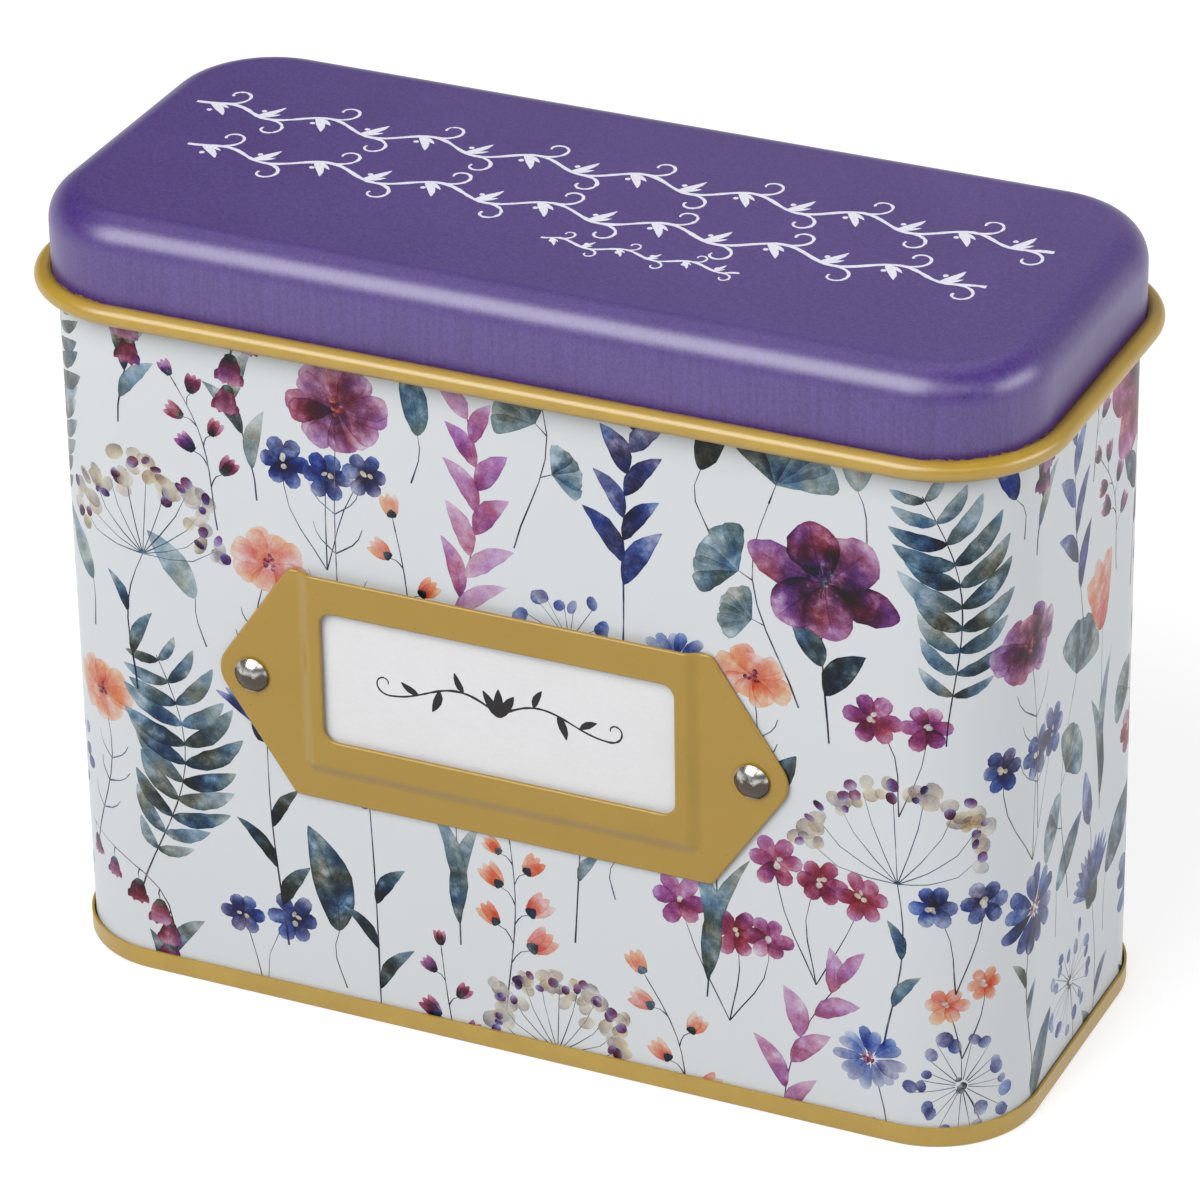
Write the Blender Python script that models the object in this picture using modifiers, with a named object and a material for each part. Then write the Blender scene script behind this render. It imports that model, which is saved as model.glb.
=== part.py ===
# Prayer card tin: a drawn slip lid over a rounded box of tinplate, with a
# riveted label holder on its front and tabbed dividers and cards inside.
# Metres, +Z up, the front faces -Y, origin on the table under the middle.
import math

import bmesh
import bpy

# Sheet and fits
sheet = 0.0004
seat_gap = 0.0003
lid_gap = 0.0005

# Cards, which set the size of the tin
card_width = 0.1524
card_height = 0.1016
card_corner = 0.0032
card_side_room = 0.0038
pack_thickness = 0.0036
divider_thickness = 0.0004
tab_height = 0.0127
tab_width = 0.0270
tab_corner = 0.0025
pair_count = 6
headroom = 0.0130
leafing_room = 0.0332

# Body and base
corner_radius = 0.0162
rim_height = 0.0035
rim_bend = 0.00045
floor_height = 0.0028
floor_bend = 0.0006
hem_radius = 0.0005
hem_depth = 0.0050
seam_width = 0.0040
seam_thickness = 0.0006

# Lid
shoulder_radius = 0.0056
lid_depth = 0.0146
bead_radius = 0.00156
bead_turn = math.radians(295)

# Label holder, label and rivets
holder_length = 0.0968
holder_height = 0.0395
holder_point = 0.0134
holder_sheet = 0.0005
holder_shift = 0.0009
holder_drop = 0.0006
holder_tip_radius = 0.0050
holder_corner_radius = 0.0012
panel_end_margin = 0.0015
panel_bottom_margin = 0.0045
panel_bevel = 0.0005
window_side_margin = 0.00415
window_bottom_margin = 0.0067
window_top_margin = 0.0060
window_radius = 0.0015
label_thickness = 0.0003
label_ease = 0.0007
label_side_room = 0.0008
label_drop = 0.0013
rivet_inset = 0.0067
rivet_head_radius = 0.00285
rivet_head_height = 0.0014
rivet_shank_radius = 0.0012
rivet_tail_radius = 0.0023
rivet_tail_height = 0.0006

# Counts and overruns
corner_steps = 8
bend_steps = 3
shoulder_steps = 6
bead_steps = 11
rivet_steps = 24
dome_steps = 5
cut_overrun = 0.0020

# Derived sizes of the box
body_width = card_width + 2 * card_side_room
flange_reach = sheet + seat_gap + sheet
floor_corner = corner_radius - flange_reach
side_reach = card_width / 2 + seat_gap - (body_width / 2 - corner_radius)
card_inset = floor_corner - math.sqrt(floor_corner ** 2 - max(side_reach, 0) ** 2)
pair_depth = divider_thickness + seat_gap + pack_thickness + seat_gap
stack_depth = pair_count * pair_depth - seat_gap
body_depth = flange_reach + card_inset + stack_depth + leafing_room
card_foot = floor_height + seat_gap
tin_height = card_foot + card_height + tab_height + headroom + sheet
front = -body_depth / 2

# Derived sizes of the lid and the hem under it
lid_skin = lid_gap + sheet / 2
shoulder_height = tin_height - shoulder_radius
bead_height = tin_height - lid_depth
bead_middle_radius = bead_radius - sheet / 2
hem_reach = hem_radius + sheet / 2
hem_run = shoulder_radius - sheet - hem_reach - seat_gap
hem_side = shoulder_radius - lid_gap - sheet - hem_reach
hem_height = shoulder_height + math.sqrt(max(hem_run ** 2 - hem_side ** 2, 0))
wall_foot = sheet + seat_gap

# Derived sizes of the label holder, measured outward from the wall
bead_foot = bead_height - bead_radius
holder_z = (rim_height + bead_foot) / 2 - holder_drop
flange_back = seat_gap
flange_front = flange_back + holder_sheet
pocket_depth = seat_gap + label_thickness + label_ease
panel_front = pocket_depth + holder_sheet
panel_half = holder_length / 2 - holder_point - panel_end_margin
panel_foot = panel_bottom_margin - holder_height / 2
window_width = 2 * (panel_half - window_side_margin)
window_foot = panel_foot + window_bottom_margin
window_height = holder_height / 2 - window_top_margin - window_foot
label_width = 2 * (panel_half - holder_sheet - label_side_room)
label_foot = panel_foot + holder_sheet + seat_gap
label_height = holder_height / 2 - label_drop - label_foot
rivet_place = holder_length / 2 - rivet_inset
rivet_hole_radius = rivet_shank_radius + seat_gap
head_back = flange_front + seat_gap
tail_front = -sheet - seat_gap

# Places of the divider tabs along the cards, as shares of the free width
tab_shares = [index / (pair_count - 1) for index in range(pair_count)]


def clear_scene():
    for old in list(bpy.data.objects):
        bpy.data.objects.remove(old, do_unlink=True)


def new_collection(name):
    collection = bpy.data.collections.new(name)
    bpy.context.scene.collection.children.link(collection)
    return collection


def new_material(name, colour, roughness, metallic):
    material = bpy.data.materials.new(name)
    material.use_nodes = True
    shader = material.node_tree.nodes["Principled BSDF"]
    shader.inputs["Base Color"].default_value = (*colour, 1.0)
    shader.inputs["Roughness"].default_value = roughness
    shader.inputs["Metallic"].default_value = metallic
    material.diffuse_color = (*colour, 1.0)
    return material


# Outlines and curves
def arc(centre_x, centre_y, radius, start, turn, steps):
    points = []
    for index in range(steps + 1):
        angle = start + turn * index / steps
        points.append((centre_x + radius * math.cos(angle), centre_y + radius * math.sin(angle)))
    return points


def rounded_outline(corners, radii, steps):
    """Round each corner of a convex outline that runs counterclockwise."""
    points = []
    count = len(corners)
    for index, (x, y) in enumerate(corners):
        before = corners[index - 1]
        after = corners[(index + 1) % count]
        into = math.atan2(y - before[1], x - before[0])
        out = math.atan2(after[1] - y, after[0] - x)
        turn = (out - into) % math.tau
        back = radii[index] * math.tan(turn / 2)
        start_x = x - back * math.cos(into) - radii[index] * math.sin(into)
        start_y = y - back * math.sin(into) + radii[index] * math.cos(into)
        points += arc(start_x, start_y, radii[index], into - math.pi / 2, turn, steps)
    return points


def rectangle(width, height, foot):
    half = width / 2
    return [(-half, foot), (half, foot), (half, foot + height), (-half, foot + height)]


def flat_curve(name, points, cyclic, collection):
    curve = bpy.data.curves.new(name, "CURVE")
    curve.dimensions = "2D"
    curve.fill_mode = "NONE"
    spline = curve.splines.new("POLY")
    spline.points.add(len(points) - 1)
    for point, (x, y) in zip(spline.points, points):
        point.co = (x, y, 0, 1)
    spline.use_cyclic_u = cyclic
    piece = bpy.data.objects.new(name, curve)
    collection.objects.link(piece)
    return piece


def plate(name, points, thickness, collection):
    """A flat plate on the XY plane, its back at zero and its front at thickness."""
    outline = flat_curve(name + "_outline", points, True, collection)
    outline.data.fill_mode = "BOTH"
    outline.data.extrude = thickness / 2
    bpy.context.view_layer.update()
    graph = bpy.context.evaluated_depsgraph_get()
    mesh = bpy.data.meshes.new_from_object(outline.evaluated_get(graph))
    bpy.data.objects.remove(outline)
    work = bmesh.new()
    work.from_mesh(mesh)
    bmesh.ops.remove_doubles(work, verts=work.verts, dist=seat_gap / 100)
    bmesh.ops.dissolve_limit(work, angle_limit=math.radians(0.5), verts=work.verts, edges=work.edges)
    bmesh.ops.translate(work, verts=work.verts, vec=(0, 0, thickness / 2))
    bmesh.ops.recalc_face_normals(work, faces=work.faces)
    work.to_mesh(mesh)
    work.free()
    mesh.name = name
    piece = bpy.data.objects.new(name, mesh)
    collection.objects.link(piece)
    return piece


def bent_sheet(name, profile, closed_over):
    """Sheet that follows the box's outline; profile points are (distance outside the wall, height)."""
    guide = flat_curve(name + "_profile", [(-out, height) for out, height in profile], False, guides)
    mark_guide(guide)
    half_width = body_width / 2
    half_depth = body_depth / 2
    corners = [(half_width, half_depth), (-half_width, half_depth), (-half_width, -half_depth), (half_width, -half_depth)]
    outline = rounded_outline(corners, [corner_radius] * len(corners), corner_steps)
    path = flat_curve(name + "_path", outline, True, guides)
    path.data.bevel_mode = "OBJECT"
    path.data.bevel_object = guide
    bpy.context.view_layer.update()
    graph = bpy.context.evaluated_depsgraph_get()
    mesh = bpy.data.meshes.new_from_object(path.evaluated_get(graph))
    bpy.data.objects.remove(path)
    work = bmesh.new()
    work.from_mesh(mesh)
    bmesh.ops.remove_doubles(work, verts=work.verts, dist=seat_gap / 100)
    if closed_over:
        level = profile[-1][1]
        rim = [edge for edge in work.edges if edge.is_boundary and at_height(edge, level)]
        bmesh.ops.holes_fill(work, edges=rim, sides=0)
    bmesh.ops.recalc_face_normals(work, faces=work.faces)
    work.to_mesh(mesh)
    work.free()
    mesh.name = name
    piece = bpy.data.objects.new(name, mesh)
    tin.objects.link(piece)
    solid = piece.modifiers.new("Sheet", "SOLIDIFY")
    solid.thickness = sheet
    solid.offset = 0
    solid.use_even_offset = True
    return piece


def at_height(edge, level):
    return all(abs(vert.co.z - level) < seat_gap / 10 for vert in edge.verts)


def mark_guide(piece):
    piece.hide_render = True
    piece.display_type = "WIRE"


def combine(piece, other, operation):
    cut = piece.modifiers.new(operation.title(), "BOOLEAN")
    cut.operation = operation
    cut.solver = "EXACT"
    cut.object = other
    mark_guide(other)


def stand_up(piece, x, y, z):
    """Turn a plate that was drawn lying down so that it stands facing the front."""
    piece.rotation_euler = (math.pi / 2, 0, 0)
    piece.location = (x, y, z)


def smooth(piece, degrees):
    piece.data.shade_smooth()
    piece.data.set_sharp_from_angle(angle=math.radians(degrees))
    even = piece.modifiers.new("Normals", "WEIGHTED_NORMAL")
    even.keep_sharp = True


def axis_empty(name, x, y, z):
    empty = bpy.data.objects.new(name, None)
    empty.empty_display_size = card_height / 10
    empty.location = (x, y, z)
    tin.objects.link(empty)
    return empty


# Body wall: a strip bent round, hemmed inward at the top and locked in a seam at the back
def make_body_wall():
    middle = -sheet / 2
    hem_middle = middle - hem_radius
    profile = [(middle, wall_foot)]
    profile += arc(hem_middle, hem_height, hem_radius, 0, math.pi, 2 * bend_steps)
    profile.append((hem_middle - hem_radius, hem_height - hem_depth))
    wall = bent_sheet("body_wall", profile, False)

    seam_foot = floor_height + seat_gap
    seam_top = hem_height - hem_depth - seat_gap
    bpy.ops.mesh.primitive_cube_add(size=1)
    seam = bpy.context.object
    seam.name = "seam_strip"
    seam.scale = (seam_width, sheet / 2 + seam_thickness, seam_top - seam_foot)
    seam_back = body_depth / 2 - sheet / 2
    seam_middle = seam_back - (sheet / 2 + seam_thickness) / 2
    seam.location = (0, seam_middle, (seam_top + seam_foot) / 2)
    move_to(seam, guides)
    combine(wall, seam, "UNION")

    for side in (-1, 1):
        hole = rivet_hole("wall_hole", side)
        combine(wall, hole, "DIFFERENCE")
    smooth(wall, 40)
    wall.data.materials.append(printed_tin)


def move_to(piece, collection):
    for old in list(piece.users_collection):
        old.objects.unlink(piece)
    collection.objects.link(piece)


def rivet_hole(name, side):
    bpy.ops.mesh.primitive_cylinder_add(
        vertices=rivet_steps,
        radius=rivet_hole_radius,
        depth=2 * (panel_front + sheet + cut_overrun),
        location=(side * rivet_place - holder_shift, front, holder_z),
        rotation=(math.pi / 2, 0, 0),
    )
    hole = bpy.context.object
    hole.name = name
    move_to(hole, guides)
    return hole


# Base: a panel whose edge is folded under the wall and up its outside as the rim
def make_base_panel():
    outer = seat_gap + sheet / 2
    inner = -sheet - seat_gap - sheet / 2
    floor_level = floor_height - sheet / 2
    foot = sheet / 2
    profile = [(outer, rim_height)]
    profile += arc(outer - rim_bend, foot + rim_bend, rim_bend, 0, -math.pi / 2, bend_steps)
    profile += arc(inner + rim_bend, foot + rim_bend, rim_bend, -math.pi / 2, -math.pi / 2, bend_steps)
    profile += arc(inner - floor_bend, floor_level - floor_bend, floor_bend, 0, math.pi / 2, bend_steps)
    base = bent_sheet("base_panel", profile, True)
    smooth(base, 40)
    base.data.materials.append(gold_lacquer)


# Lid: a drawn cap whose lower edge is curled outward into a round bead
def make_lid():
    bead_middle = lid_skin + bead_middle_radius
    shoulder_middle = lid_gap + sheet - shoulder_radius
    curl = arc(bead_middle, bead_height, bead_middle_radius, math.pi, bead_turn, bead_steps)
    profile = list(reversed(curl))
    skirt_bend = shoulder_radius - sheet / 2
    profile += arc(shoulder_middle, shoulder_height, skirt_bend, 0, math.pi / 2, shoulder_steps)
    lid = bent_sheet("lid", profile, True)
    smooth(lid, 40)
    lid.data.materials.append(purple_lacquer)


# Label holder: a pointed plate with an embossed pocket that is open at the top
def make_label_holder():
    half = holder_length / 2
    flat = half - holder_point
    rise = holder_height / 2
    corners = [(-flat, -rise), (flat, -rise), (half, 0), (flat, rise), (-flat, rise), (-half, 0)]
    corner = holder_corner_radius
    radii = [corner, corner, holder_tip_radius, corner, corner, holder_tip_radius]
    outline = rounded_outline(corners, radii, corner_steps)
    holder = plate("label_holder", outline, holder_sheet, tin)
    stand_up(holder, -holder_shift, front - flange_back, holder_z)

    panel_width = 2 * panel_half
    panel_height = holder_height / 2 - panel_foot
    panel = block("holder_panel", panel_width, flange_back, panel_front, panel_foot, panel_height)
    rounding = panel.modifiers.new("Rounding", "BEVEL")
    rounding.width = panel_bevel
    rounding.segments = 2
    rounding.limit_method = "WEIGHT"
    weigh_edges(panel)
    combine(holder, panel, "UNION")

    inside_width = panel_width - 2 * holder_sheet
    inside_height = panel_height - holder_sheet + cut_overrun
    inside = block("holder_pocket", inside_width, -cut_overrun, pocket_depth, panel_foot + holder_sheet, inside_height)
    combine(holder, inside, "DIFFERENCE")

    window = rounded_outline(rectangle(window_width, window_height, window_foot), [window_radius] * 4, bend_steps + 1)
    opening = plate("holder_window", window, panel_front + 2 * cut_overrun, guides)
    stand_up(opening, -holder_shift, front + cut_overrun, holder_z)
    combine(holder, opening, "DIFFERENCE")

    for side in (-1, 1):
        hole = rivet_hole("holder_hole", side)
        combine(holder, hole, "DIFFERENCE")
    smooth(holder, 30)
    holder.data.materials.append(mustard_paint)


def block(name, width, back, out, foot, height):
    """A box in front of the wall, in the label holder's frame."""
    bpy.ops.mesh.primitive_cube_add(size=1)
    box = bpy.context.object
    box.name = name
    box.scale = (width, out - back, height)
    bpy.ops.object.transform_apply(location=False, rotation=False, scale=True)
    box.location = (-holder_shift, front - (out + back) / 2, holder_z + foot + height / 2)
    move_to(box, guides)
    return box


def weigh_edges(box):
    """Mark the front edges, all but the one at the open top, and the two upright front corners."""
    work = bmesh.new()
    work.from_mesh(box.data)
    weight = work.edges.layers.float.new("bevel_weight_edge")
    for edge in work.edges:
        in_front = all(vert.co.y < 0 for vert in edge.verts)
        on_top = all(vert.co.z > 0 for vert in edge.verts)
        edge[weight] = 1.0 if in_front and not on_top else 0.0
    work.to_mesh(box.data)
    work.free()


# Label: a plain card that drops into the holder's pocket from above
def make_label_card():
    corners = rectangle(label_width, label_height, label_foot)
    card = plate("label_card", corners, label_thickness, tin)
    stand_up(card, -holder_shift, front - seat_gap, holder_z)
    card.data.materials.append(white_card)


# Rivets: a domed head in front of the holder and a flat tail inside the wall
def make_rivet(name, side):
    profile = []
    sphere = (rivet_head_radius ** 2 + rivet_head_height ** 2) / (2 * rivet_head_height)
    half_angle = math.asin(rivet_head_radius / sphere)
    drop = sphere - rivet_head_height
    for index in range(dome_steps + 1):
        angle = half_angle * index / dome_steps
        profile.append((sphere * math.sin(angle), head_back + sphere * math.cos(angle) - drop))
    profile[0] = (0.0, head_back + rivet_head_height)
    profile.append((rivet_shank_radius, head_back))
    profile.append((rivet_shank_radius, tail_front))
    profile.append((rivet_tail_radius, tail_front))
    profile.append((rivet_tail_radius, tail_front - rivet_tail_height))
    profile.append((0.0, tail_front - rivet_tail_height))
    mesh = bpy.data.meshes.new(name)
    points = [(radius, 0, height) for radius, height in profile]
    mesh.from_pydata(points, [(index, index + 1) for index in range(len(points) - 1)], [])
    rivet = bpy.data.objects.new(name, mesh)
    tin.objects.link(rivet)
    turn = rivet.modifiers.new("Turn", "SCREW")
    turn.steps = rivet_steps
    turn.render_steps = rivet_steps
    turn.use_merge_vertices = True
    turn.merge_threshold = seat_gap / 100
    stand_up(rivet, side * rivet_place - holder_shift, front, holder_z)
    rivet.data.materials.append(nickel)


# Dividers and packs of cards, each hinged at the foot of its back face
def make_divider(index, back_face, colour):
    name = f"divider_{index + 1}"
    half = card_width / 2
    top = card_height
    free = card_width - tab_width - 2 * card_corner - 2 * tab_corner
    tab_start = -half + card_corner + tab_corner + free * tab_shares[index]
    tab_end = tab_start + tab_width
    body = rounded_outline(rectangle(card_width, card_height, 0), [card_corner] * 4, bend_steps)
    divider = plate(name, body, divider_thickness, tin)
    tab = [(tab_start, top - tab_height), (tab_end, top - tab_height), (tab_end, top + tab_height), (tab_start, top + tab_height)]
    tab_outline = rounded_outline(tab, [tab_corner] * 4, bend_steps)
    tab_plate = plate(name + "_tab", tab_outline, divider_thickness, guides)
    hinge = axis_empty(name + "_axis", 0, back_face, card_foot)
    for piece in (divider, tab_plate):
        stand_up(piece, 0, 0, 0)
        piece.parent = hinge
    combine(divider, tab_plate, "UNION")
    divider.data.materials.append(colour)


def make_pack(index, back_face):
    name = f"card_pack_{index + 1}"
    outline = rounded_outline(rectangle(card_width, card_height, 0), [card_corner] * 4, bend_steps)
    pack = plate(name, outline, pack_thickness, tin)
    hinge = axis_empty(name + "_axis", 0, back_face, card_foot)
    stand_up(pack, 0, 0, 0)
    pack.parent = hinge
    pack.data.materials.append(white_card)


def make_cards():
    tints = [lilac_card, blue_card, coral_card, plum_card, sage_card, mustard_card]
    face = front + flange_reach + card_inset
    for index in range(pair_count):
        divider_back = face + divider_thickness
        pack_back = divider_back + seat_gap + pack_thickness
        make_divider(index, divider_back, tints[index % len(tints)])
        make_pack(index, pack_back)
        face += pair_depth


clear_scene()
tin = new_collection("prayer_card_tin")
guides = new_collection("guides")

printed_tin = new_material("printed_tin", (0.68, 0.74, 0.78), 0.28, 0.0)
gold_lacquer = new_material("gold_lacquer", (0.58, 0.36, 0.06), 0.38, 0.85)
purple_lacquer = new_material("purple_lacquer", (0.115, 0.073, 0.262), 0.45, 0.1)
mustard_paint = new_material("mustard_paint", (0.45, 0.27, 0.055), 0.35, 0.2)
nickel = new_material("nickel", (0.60, 0.57, 0.54), 0.15, 1.0)
white_card = new_material("white_card", (0.76, 0.76, 0.79), 0.7, 0.0)
lilac_card = new_material("lilac_card", (0.42, 0.30, 0.52), 0.7, 0.0)
blue_card = new_material("blue_card", (0.20, 0.28, 0.48), 0.7, 0.0)
coral_card = new_material("coral_card", (0.75, 0.30, 0.17), 0.7, 0.0)
plum_card = new_material("plum_card", (0.22, 0.06, 0.12), 0.7, 0.0)
sage_card = new_material("sage_card", (0.20, 0.32, 0.30), 0.7, 0.0)
mustard_card = new_material("mustard_card", (0.55, 0.36, 0.09), 0.7, 0.0)

make_body_wall()
make_base_panel()
make_lid()
make_label_holder()
make_label_card()
make_rivet("rivet_left", -1)
make_rivet("rivet_right", 1)
make_cards()
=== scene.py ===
import math

import bmesh
import bpy
import numpy as np
from mathutils import Matrix, Vector
from mathutils.geometry import delaunay_2d_cdt


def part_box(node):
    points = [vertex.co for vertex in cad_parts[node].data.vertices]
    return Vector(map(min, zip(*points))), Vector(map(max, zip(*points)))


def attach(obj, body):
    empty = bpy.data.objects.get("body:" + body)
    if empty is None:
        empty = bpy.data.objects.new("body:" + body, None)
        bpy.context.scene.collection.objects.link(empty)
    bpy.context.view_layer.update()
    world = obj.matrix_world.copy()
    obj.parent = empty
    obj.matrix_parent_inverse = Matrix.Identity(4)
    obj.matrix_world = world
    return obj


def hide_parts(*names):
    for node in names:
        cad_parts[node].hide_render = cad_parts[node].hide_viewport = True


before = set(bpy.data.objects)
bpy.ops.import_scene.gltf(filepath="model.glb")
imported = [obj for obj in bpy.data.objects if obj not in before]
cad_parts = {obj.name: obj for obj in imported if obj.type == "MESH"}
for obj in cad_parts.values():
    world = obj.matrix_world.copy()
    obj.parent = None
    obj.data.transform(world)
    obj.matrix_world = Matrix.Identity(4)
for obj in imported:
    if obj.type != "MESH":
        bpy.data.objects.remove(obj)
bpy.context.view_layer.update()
mm = 0.001

# Boxes of the solids, which give the main sizes
wall_low, wall_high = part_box("body_wall")
lid_low, lid_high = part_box("lid")
holder_low, holder_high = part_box("label_holder")
label_low, label_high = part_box("label_card")

# Sheet and fits
sheet = 0.4 * mm
seat_gap = 0.3 * mm
lid_gap = 0.5 * mm

# Body and base
body_width = wall_high.x - wall_low.x
body_depth = wall_high.y - wall_low.y
corner_radius = 16.2 * mm
wall_foot = wall_low.z
hem_radius = 0.5 * mm
hem_depth = 5.0 * mm
hem_height = wall_high.z - hem_radius - sheet / 2
seam_half = 2.0 * mm
seam_thickness = 0.6 * mm
seam_groove = 0.18 * mm
rim_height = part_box("base_panel")[1].z
rim_bend = 0.45 * mm
floor_height = 2.8 * mm
floor_bend = 0.6 * mm
front = wall_low.y

# Lid
shoulder_radius = 5.6 * mm
bead_radius = (lid_high.x - wall_high.x - lid_gap) / 2
bead_turn = 312
tin_height = lid_high.z
bead_height = lid_low.z + bead_radius
shoulder_height = tin_height - shoulder_radius
purple_end_low = bead_height + 1.20 * mm
purple_end_high = bead_height + 1.27 * mm

# Label holder, label and rivets
holder_rise = (holder_high.z - holder_low.z) / 2
holder_x = (holder_low.x + holder_high.x) / 2
holder_z = (holder_low.z + holder_high.z) / 2
holder_half = 48.4 * mm
holder_point = 13.4 * mm
holder_sheet = 0.5 * mm
holder_tip_radius = 5.0 * mm
holder_corner_radius = 1.2 * mm
holder_roll = 0.42 * mm
panel_rise = 1.0 * mm
panel_half = 33.5 * mm
panel_foot = 4.5 * mm - holder_rise
panel_ramp = 2.6 * mm
panel_corner = 2.4 * mm
window_half = 29.35 * mm
window_foot = -8.55 * mm
window_top = 13.75 * mm
window_radius = 2.1 * mm
rivet_place = 41.7 * mm
rivet_hole = 1.5 * mm
rivet_head_radius = 2.85 * mm
rivet_head_height = 1.4 * mm
rivet_shank_radius = 1.2 * mm
rivet_tail_radius = 2.3 * mm
rivet_tail_height = 0.6 * mm
rivet_edge = 0.12 * mm

# Cards
card_corner = 3.2 * mm
label_corner = 2.0 * mm
tab_height = 12.7 * mm
tab_width = 27.0 * mm
tab_corner = 2.5 * mm
tab_foot = 1.6 * mm
pair_count = 6
cards_in_pack = 12
card_share = 0.86
card_slack = 0.2 * mm

# Fineness of the meshes, how near corners are when they are joined, and what stands for no radius
corner_steps = 24
print_corner_steps = 12
lid_straight_parts = 4
lid_side_parts = 2
shoulder_steps = 18
bead_steps = 28
bend_steps = 6
weld_reach = 0.002 * mm
crack_reach = 0.004 * mm
tree_weld_reach = 0.01 * mm
near_axis = 0.00001 * mm


# The outline of the box: along runs round it from the seam at the back, by the left side
arc_length = corner_radius * math.pi / 2
inner_x = body_width / 2 - corner_radius
inner_y = body_depth / 2 - corner_radius
half_runs = [inner_x, arc_length, 2 * inner_y, arc_length]
runs = [*half_runs, 2 * inner_x, *reversed(half_runs)]
stops = np.concatenate([[0.0], np.cumsum(runs)])
stop_turns = np.radians([90, 90, 180, 180, 270, 270, 360, 360, 450, 450])
stop_xs = inner_x * np.array([0, -1, -1, -1, -1, 1, 1, 1, 1, 0])
stop_ys = inner_y * np.array([1, 1, 1, -1, -1, -1, -1, 1, 1, 1])
perimeter = stops[-1]


def on_outline(along, out, height):
    """Points at places along the box's outline, at a distance outside the wall and at a height."""
    turn = np.interp(along, stops, stop_turns)
    reach = corner_radius + np.asarray(out)
    x = np.interp(along, stops, stop_xs) + reach * np.cos(turn)
    y = np.interp(along, stops, stop_ys) + reach * np.sin(turn)
    return np.stack([x, y, np.zeros_like(x) + height], -1)


def columns_of(straight_parts, side_parts, corner_parts):
    """Places along the outline where a swept sheet has its columns."""
    parts = [straight_parts, corner_parts, side_parts, corner_parts, 2 * straight_parts]
    parts += [corner_parts, side_parts, corner_parts, straight_parts]
    places = [0.0]
    for start, end, count in zip(stops[:-1], stops[1:], parts):
        places += list(np.linspace(start, end, count + 1)[1:])
    return np.array(places)


def arc(centre, radius, start, turn, steps):
    angles = math.radians(start) + math.radians(turn) * np.arange(steps + 1) / steps
    return np.stack([centre[0] + radius * np.cos(angles), centre[1] + radius * np.sin(angles)], -1)


def rectangle(half, foot, top):
    return [(-half, foot), (half, foot), (half, top), (-half, top)]


def rounded_outline(corners, radii, steps):
    """Round each corner of a convex outline that runs counterclockwise."""
    points = []
    count = len(corners)
    for index, (x, y) in enumerate(corners):
        before = corners[index - 1]
        after = corners[(index + 1) % count]
        into = math.atan2(y - before[1], x - before[0])
        out = math.atan2(after[1] - y, after[0] - x)
        turn = (out - into) % math.tau
        back = radii[index] * math.tan(turn / 2)
        start_x = x - back * math.cos(into) - radii[index] * math.sin(into)
        start_y = y - back * math.sin(into) + radii[index] * math.cos(into)
        centre = (start_x, start_y)
        points += list(arc(centre, radii[index], math.degrees(into) - 90, math.degrees(turn), steps))
    return np.array(points)


def both_sides(middle, thickness):
    """The left and right side of a bent sheet that follows a middle line."""
    way = np.gradient(middle, axis=0)
    way /= np.linalg.norm(way, axis=1)[:, None]
    left = np.stack([-way[:, 1], way[:, 0]], -1) * thickness / 2
    return middle + left, middle - left


def put_in_scene(name, data):
    made = bpy.data.objects.new(name, data)
    bpy.context.scene.collection.objects.link(made)
    return made


def join_up(mesh, finishes, sharp, crack=0.0):
    """Weld the faces of a mesh, smooth it up to an angle and put it in the scene with its finishes."""
    work = bmesh.new()
    work.from_mesh(mesh)
    bmesh.ops.remove_doubles(work, verts=work.verts, dist=weld_reach)
    if crack:
        close_cracks(work, crack)
    work.to_mesh(mesh)
    work.free()
    mesh.shade_smooth()
    mesh.set_sharp_from_angle(angle=math.radians(sharp))
    for finish in finishes:
        mesh.materials.append(finish)
    return put_in_scene(mesh.name, mesh)


def even_normals(piece):
    normals = piece.modifiers.new("Normals", "WEIGHTED_NORMAL")
    normals.keep_sharp = True


class Shell:
    """Gathers the faces of one piece, then joins them into one closed mesh."""

    def __init__(self):
        self.points = []
        self.faces = []
        self.finishes = []
        self.count = 0

    def add(self, points, faces, finish=0):
        """Faces are tuples of places in points. The finish is one number, or one for each face."""
        self.points.append(np.asarray(points, float))
        self.faces += [tuple(int(corner) + self.count for corner in face) for face in faces]
        self.finishes += [finish] * len(faces) if np.isscalar(finish) else list(finish)
        self.count += len(points)

    def sweep(self, columns, section, finish=0):
        """Carry a section of (distance outside the wall, height) round the box."""
        self.grid(np.array([on_outline(columns, out, height) for out, height in section]), finish)

    def grid(self, rows, finish=0):
        """Rows of points; faces look left of the way from row to row, seen along a row."""
        row_count, column_count = rows.shape[:2]
        faces = []
        finishes = []
        for row in range(row_count - 1):
            for column in range(column_count - 1):
                here = row * column_count + column
                below = here + column_count
                faces.append((here, below, below + 1, here + 1))
                finishes.append(finish if np.isscalar(finish) else finish[row])
        self.add(rows.reshape(-1, 3), faces, finishes)

    def mesh(self, name):
        """The gathered faces, not joined yet."""
        mesh = bpy.data.meshes.new(name)
        mesh.from_pydata(np.concatenate(self.points), [], self.faces)
        mesh.polygons.foreach_set("material_index", np.array(self.finishes, np.int32))
        return mesh

    def make(self, name, finishes, sharp=35, evenly=True):
        piece = join_up(self.mesh(name), finishes, sharp)
        if evenly:
            even_normals(piece)
        return piece


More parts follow.
